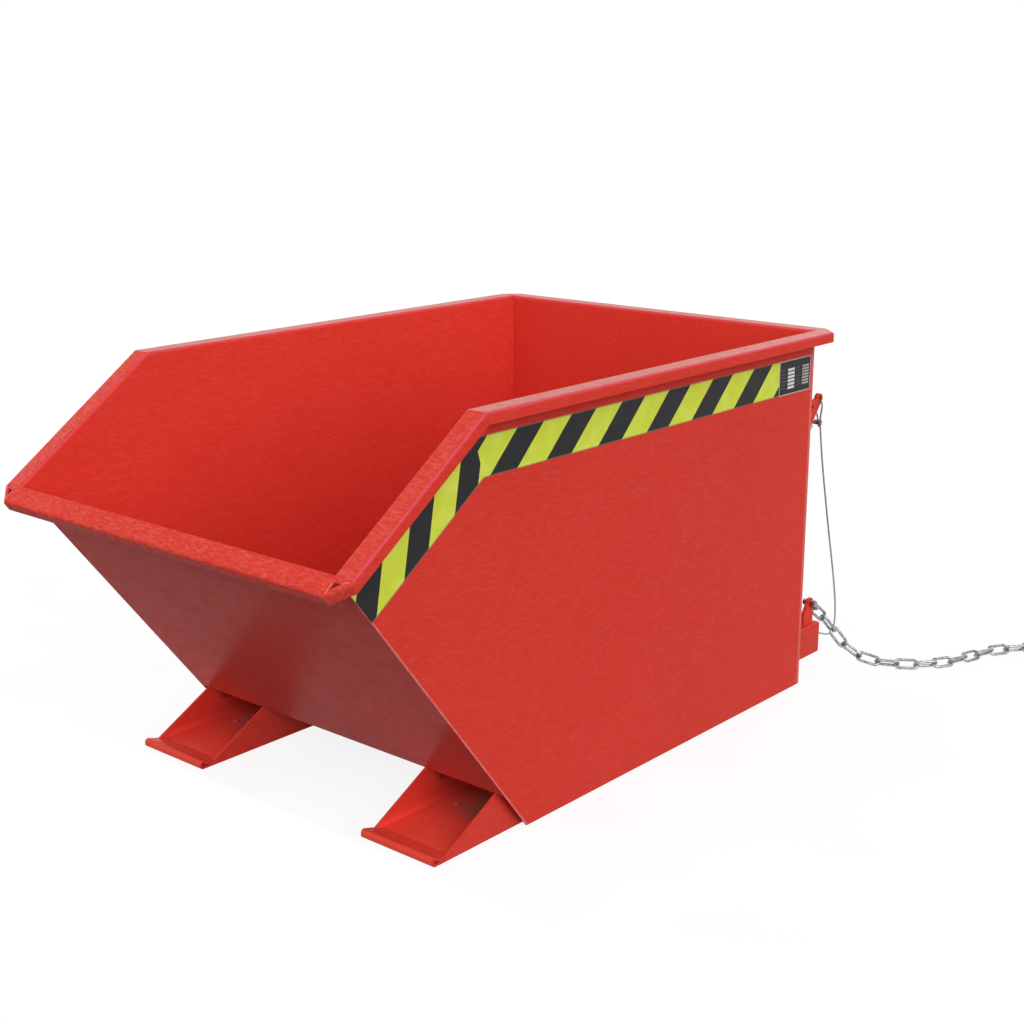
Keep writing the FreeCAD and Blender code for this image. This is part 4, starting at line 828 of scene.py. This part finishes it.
hopper_runs += [((x, REAR, catch_low.z + CATCH_INSET), (x, REAR, catch_high.z - CATCH_INSET), FLUSH)
                for x in (catch_low.x, catch_high.x)]
weld_seams("hopper_welds", "container", hopper_runs)
weld_seams("corner_welds", "container", corner_runs, SEAM_HIGHLIGHT_ENAMEL)

frame_runs = []
for _, hand in SIDES:
    low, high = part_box("sleeve_top_" + hand)
    start, end = low.y + SLEEVE_INSET, high.y - SLEEVE_INSET
    frame_runs += [((x, start, WALL_HEIGHT), (x, end, WALL_HEIGHT), FLUSH) for x in (low.x, high.x)]
for end in ("front", "rear"):
    low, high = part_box("cross_member_" + end)
    for x in (low.x, high.x):
        corner = [(low.y, low.z), (high.y, low.z), (high.y, high.z), (low.y, high.z)]
        frame_runs += [((x, *corner[i - 1]), (x, *corner[i]), FILLET) for i in range(4)]
post_low, post_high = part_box("latch_post")
foot_low, foot_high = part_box("post_foot_plate")
frame_runs += around_box(post_low, post_high, post_low.z, FILLET)
frame_runs += around_box(foot_low, foot_high, foot_low.z, FILLET)
frame_runs += around_box(post_low, post_high, post_high.z, FINE)
gusset_low, gusset_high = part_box("post_gusset")
for y in (gusset_low.y, gusset_high.y):
    frame_runs += [((gusset_low.x, y, gusset_low.z), (gusset_high.x, y, gusset_low.z), FLUSH),
                   ((gusset_high.x, y, gusset_low.z), (gusset_high.x, y, gusset_high.z), FLUSH)]
anchor_low, anchor_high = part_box("chain_anchor_plate")
frame_runs += around_box(anchor_low, anchor_high, anchor_low.z, FLUSH)
weld_seams("frame_welds", "base_frame", frame_runs)

# Rivets in the trays
RIVET_RADIUS = 0.0065
RIVET_HEIGHT = 0.0034
RIVET_FOOT = 0.0008
DIMPLE_DEPTH = 0.0009
DIMPLE_SHARE = 0.3
RIVET_PLACES = ((0.311, -1.123), (-0.4205, -1.130))


def rivet_heads(places, rows=10, around=28):
    """Round rivet heads: height times the root of 1 - s s over a share s of the radius, down to a rim
    that stands in the floor, with a shallow round dimple in the middle."""
    share = np.concatenate([np.linspace(0.0, 1.0, rows) ** 0.8, [1.0]])
    dome_rise = RIVET_HEIGHT * np.sqrt(np.clip(1 - share ** 2, 0, 1))
    rise = dome_rise - DIMPLE_DEPTH * np.exp(-(share / DIMPLE_SHARE) ** 2)
    rise[-1] = -RIVET_FOOT
    turn = np.linspace(0, 2 * math.pi, around, endpoint=False)
    ring = np.stack([np.cos(turn), np.sin(turn)], -1)
    dome = np.concatenate([RIVET_RADIUS * np.maximum(share, 0.02)[:, None, None] * ring,
                           np.broadcast_to(rise[:, None, None], (len(share), around, 1))], -1)
    heads = [dome.reshape(-1, 3) + spot(x, y, SKID_BASE) for x, y in places]
    faces = [face[::-1] for i in range(len(places))
             for face in tube_faces(len(share), around, i * dome.size // 3)]
    return np.concatenate(heads), faces


new_piece("tray_rivets", *rivet_heads(RIVET_PLACES), TRAY_ENAMEL, "base_frame")

# Stage, light and camera
STAGE_EDGE = -0.618
STAGE_DROP = -0.50
STAGE_REACH = 14.0
BOUNCE = 0.16
GLOW = 0.865
AMBIENT = 0.56
WHITE = (1.0, 1.0, 1.0, 1.0)
LAMPS = (("key_light", 70, 25, 1.64, 45), ("front_light", 0, 33, 0.56, 40),
         ("back_light", 188, 14, 0.80, 40), ("left_light", 276, 14, 0.85, 40))
CAMERA_PLACE = (2.5523, -3.5379, 1.5623)
CAMERA_AZIMUTH, CAMERA_ELEVATION = 40.746, 15.192
CAMERA_LENS = 57.513


def seen_directly(tree):
    """1 for camera, glossy and transmission rays, 0 for the rays that carry light."""
    path = tree.nodes.new("ShaderNodeLightPath").outputs
    total = path["Is Camera Ray"]
    for name in ("Is Glossy Ray", "Is Transmission Ray"):
        both = tree.nodes.new("ShaderNodeMath")
        both.operation = "MAXIMUM"
        tree.links.new(total, both.inputs[0])
        tree.links.new(path[name], both.inputs[1])
        total = both.outputs[0]
    return total


def stage_finish():
    """A matt pale floor that keeps the shadow and looks white where nothing shades it; the apron in front
    of the edge is plain white to the eye."""
    floor = Finish("stage_floor")
    tree = floor.tree
    seen = seen_directly(tree)
    speck = floor.ease(floor.noise(3.0, 2.0), 0.3, 0.7, BOUNCE - 0.01, BOUNCE + 0.01)
    tone = floor.add("ShaderNodeCombineColor", Red=speck, Green=speck, Blue=speck).outputs[0]
    matt = floor.add("ShaderNodeBsdfDiffuse", Color=tone)
    glow = floor.add("ShaderNodeEmission", Color=WHITE)
    floor.feed(glow.inputs["Strength"], floor.both(seen, GLOW))
    kept = floor.add("ShaderNodeAddShader")
    tree.links.new(matt.outputs[0], kept.inputs[0])
    tree.links.new(glow.outputs[0], kept.inputs[1])
    plain = floor.add("ShaderNodeEmission", Color=WHITE)
    below = floor.calc("LESS_THAN", floor.split(floor.place)["Z"], -0.001)
    choice = floor.add("ShaderNodeMixShader", Fac=floor.both(below, seen))
    tree.links.new(kept.outputs[0], choice.inputs[1])
    tree.links.new(plain.outputs[0], choice.inputs[2])
    out = floor.add("ShaderNodeOutputMaterial")
    tree.links.new(choice.outputs[0], out.inputs["Surface"])
    return floor.material


profile = np.array([[STAGE_REACH, 0], [STAGE_EDGE, 0],
                    [STAGE_EDGE, STAGE_DROP], [-STAGE_REACH, STAGE_DROP]])
wide, row = np.meshgrid([-STAGE_REACH, STAGE_REACH], np.arange(len(profile)))
stage_points = np.stack([wide, profile[row, 0], profile[row, 1]], -1)
stage = new_piece("stage_floor", stage_points, grid_faces(*wide.shape), stage_finish(), None,
                  smooth=False)

world = bpy.data.worlds.new("studio")
bpy.context.scene.world = world
world.use_nodes = True
sky = world.node_tree.nodes["Background"]
level = world.node_tree.nodes.new("ShaderNodeMapRange")
level.inputs["To Min"].default_value = AMBIENT
level.inputs["To Max"].default_value = 1.0
world.node_tree.links.new(seen_directly(world.node_tree), level.inputs["Value"])
world.node_tree.links.new(level.outputs["Result"], sky.inputs["Strength"])
sky.inputs["Color"].default_value = WHITE


def soft_sun(name, azimuth, elevation, strength, angle):
    """A wide soft lamp in the direction of azimuth and elevation, in degrees, as the views count them."""
    lamp = bpy.data.lights.new(name, "SUN")
    lamp.energy = strength
    lamp.angle = math.radians(angle)
    item = bpy.data.objects.new(name, lamp)
    item.rotation_euler = (math.radians(90 - elevation), 0, math.radians(azimuth))
    bpy.context.scene.collection.objects.link(item)


for lamp in LAMPS:
    soft_sun(*lamp)

camera_data = bpy.data.cameras.new("camera")
camera_data.lens = CAMERA_LENS
camera_data.sensor_width = 36
camera_data.clip_end = 100
camera = bpy.data.objects.new("camera", camera_data)
camera.location = spot(*CAMERA_PLACE)
camera.rotation_euler = (math.radians(90 - CAMERA_ELEVATION), 0, math.radians(CAMERA_AZIMUTH))
bpy.context.scene.collection.objects.link(camera)
bpy.context.scene.camera = camera
bpy.context.scene.view_settings.view_transform = "Standard"
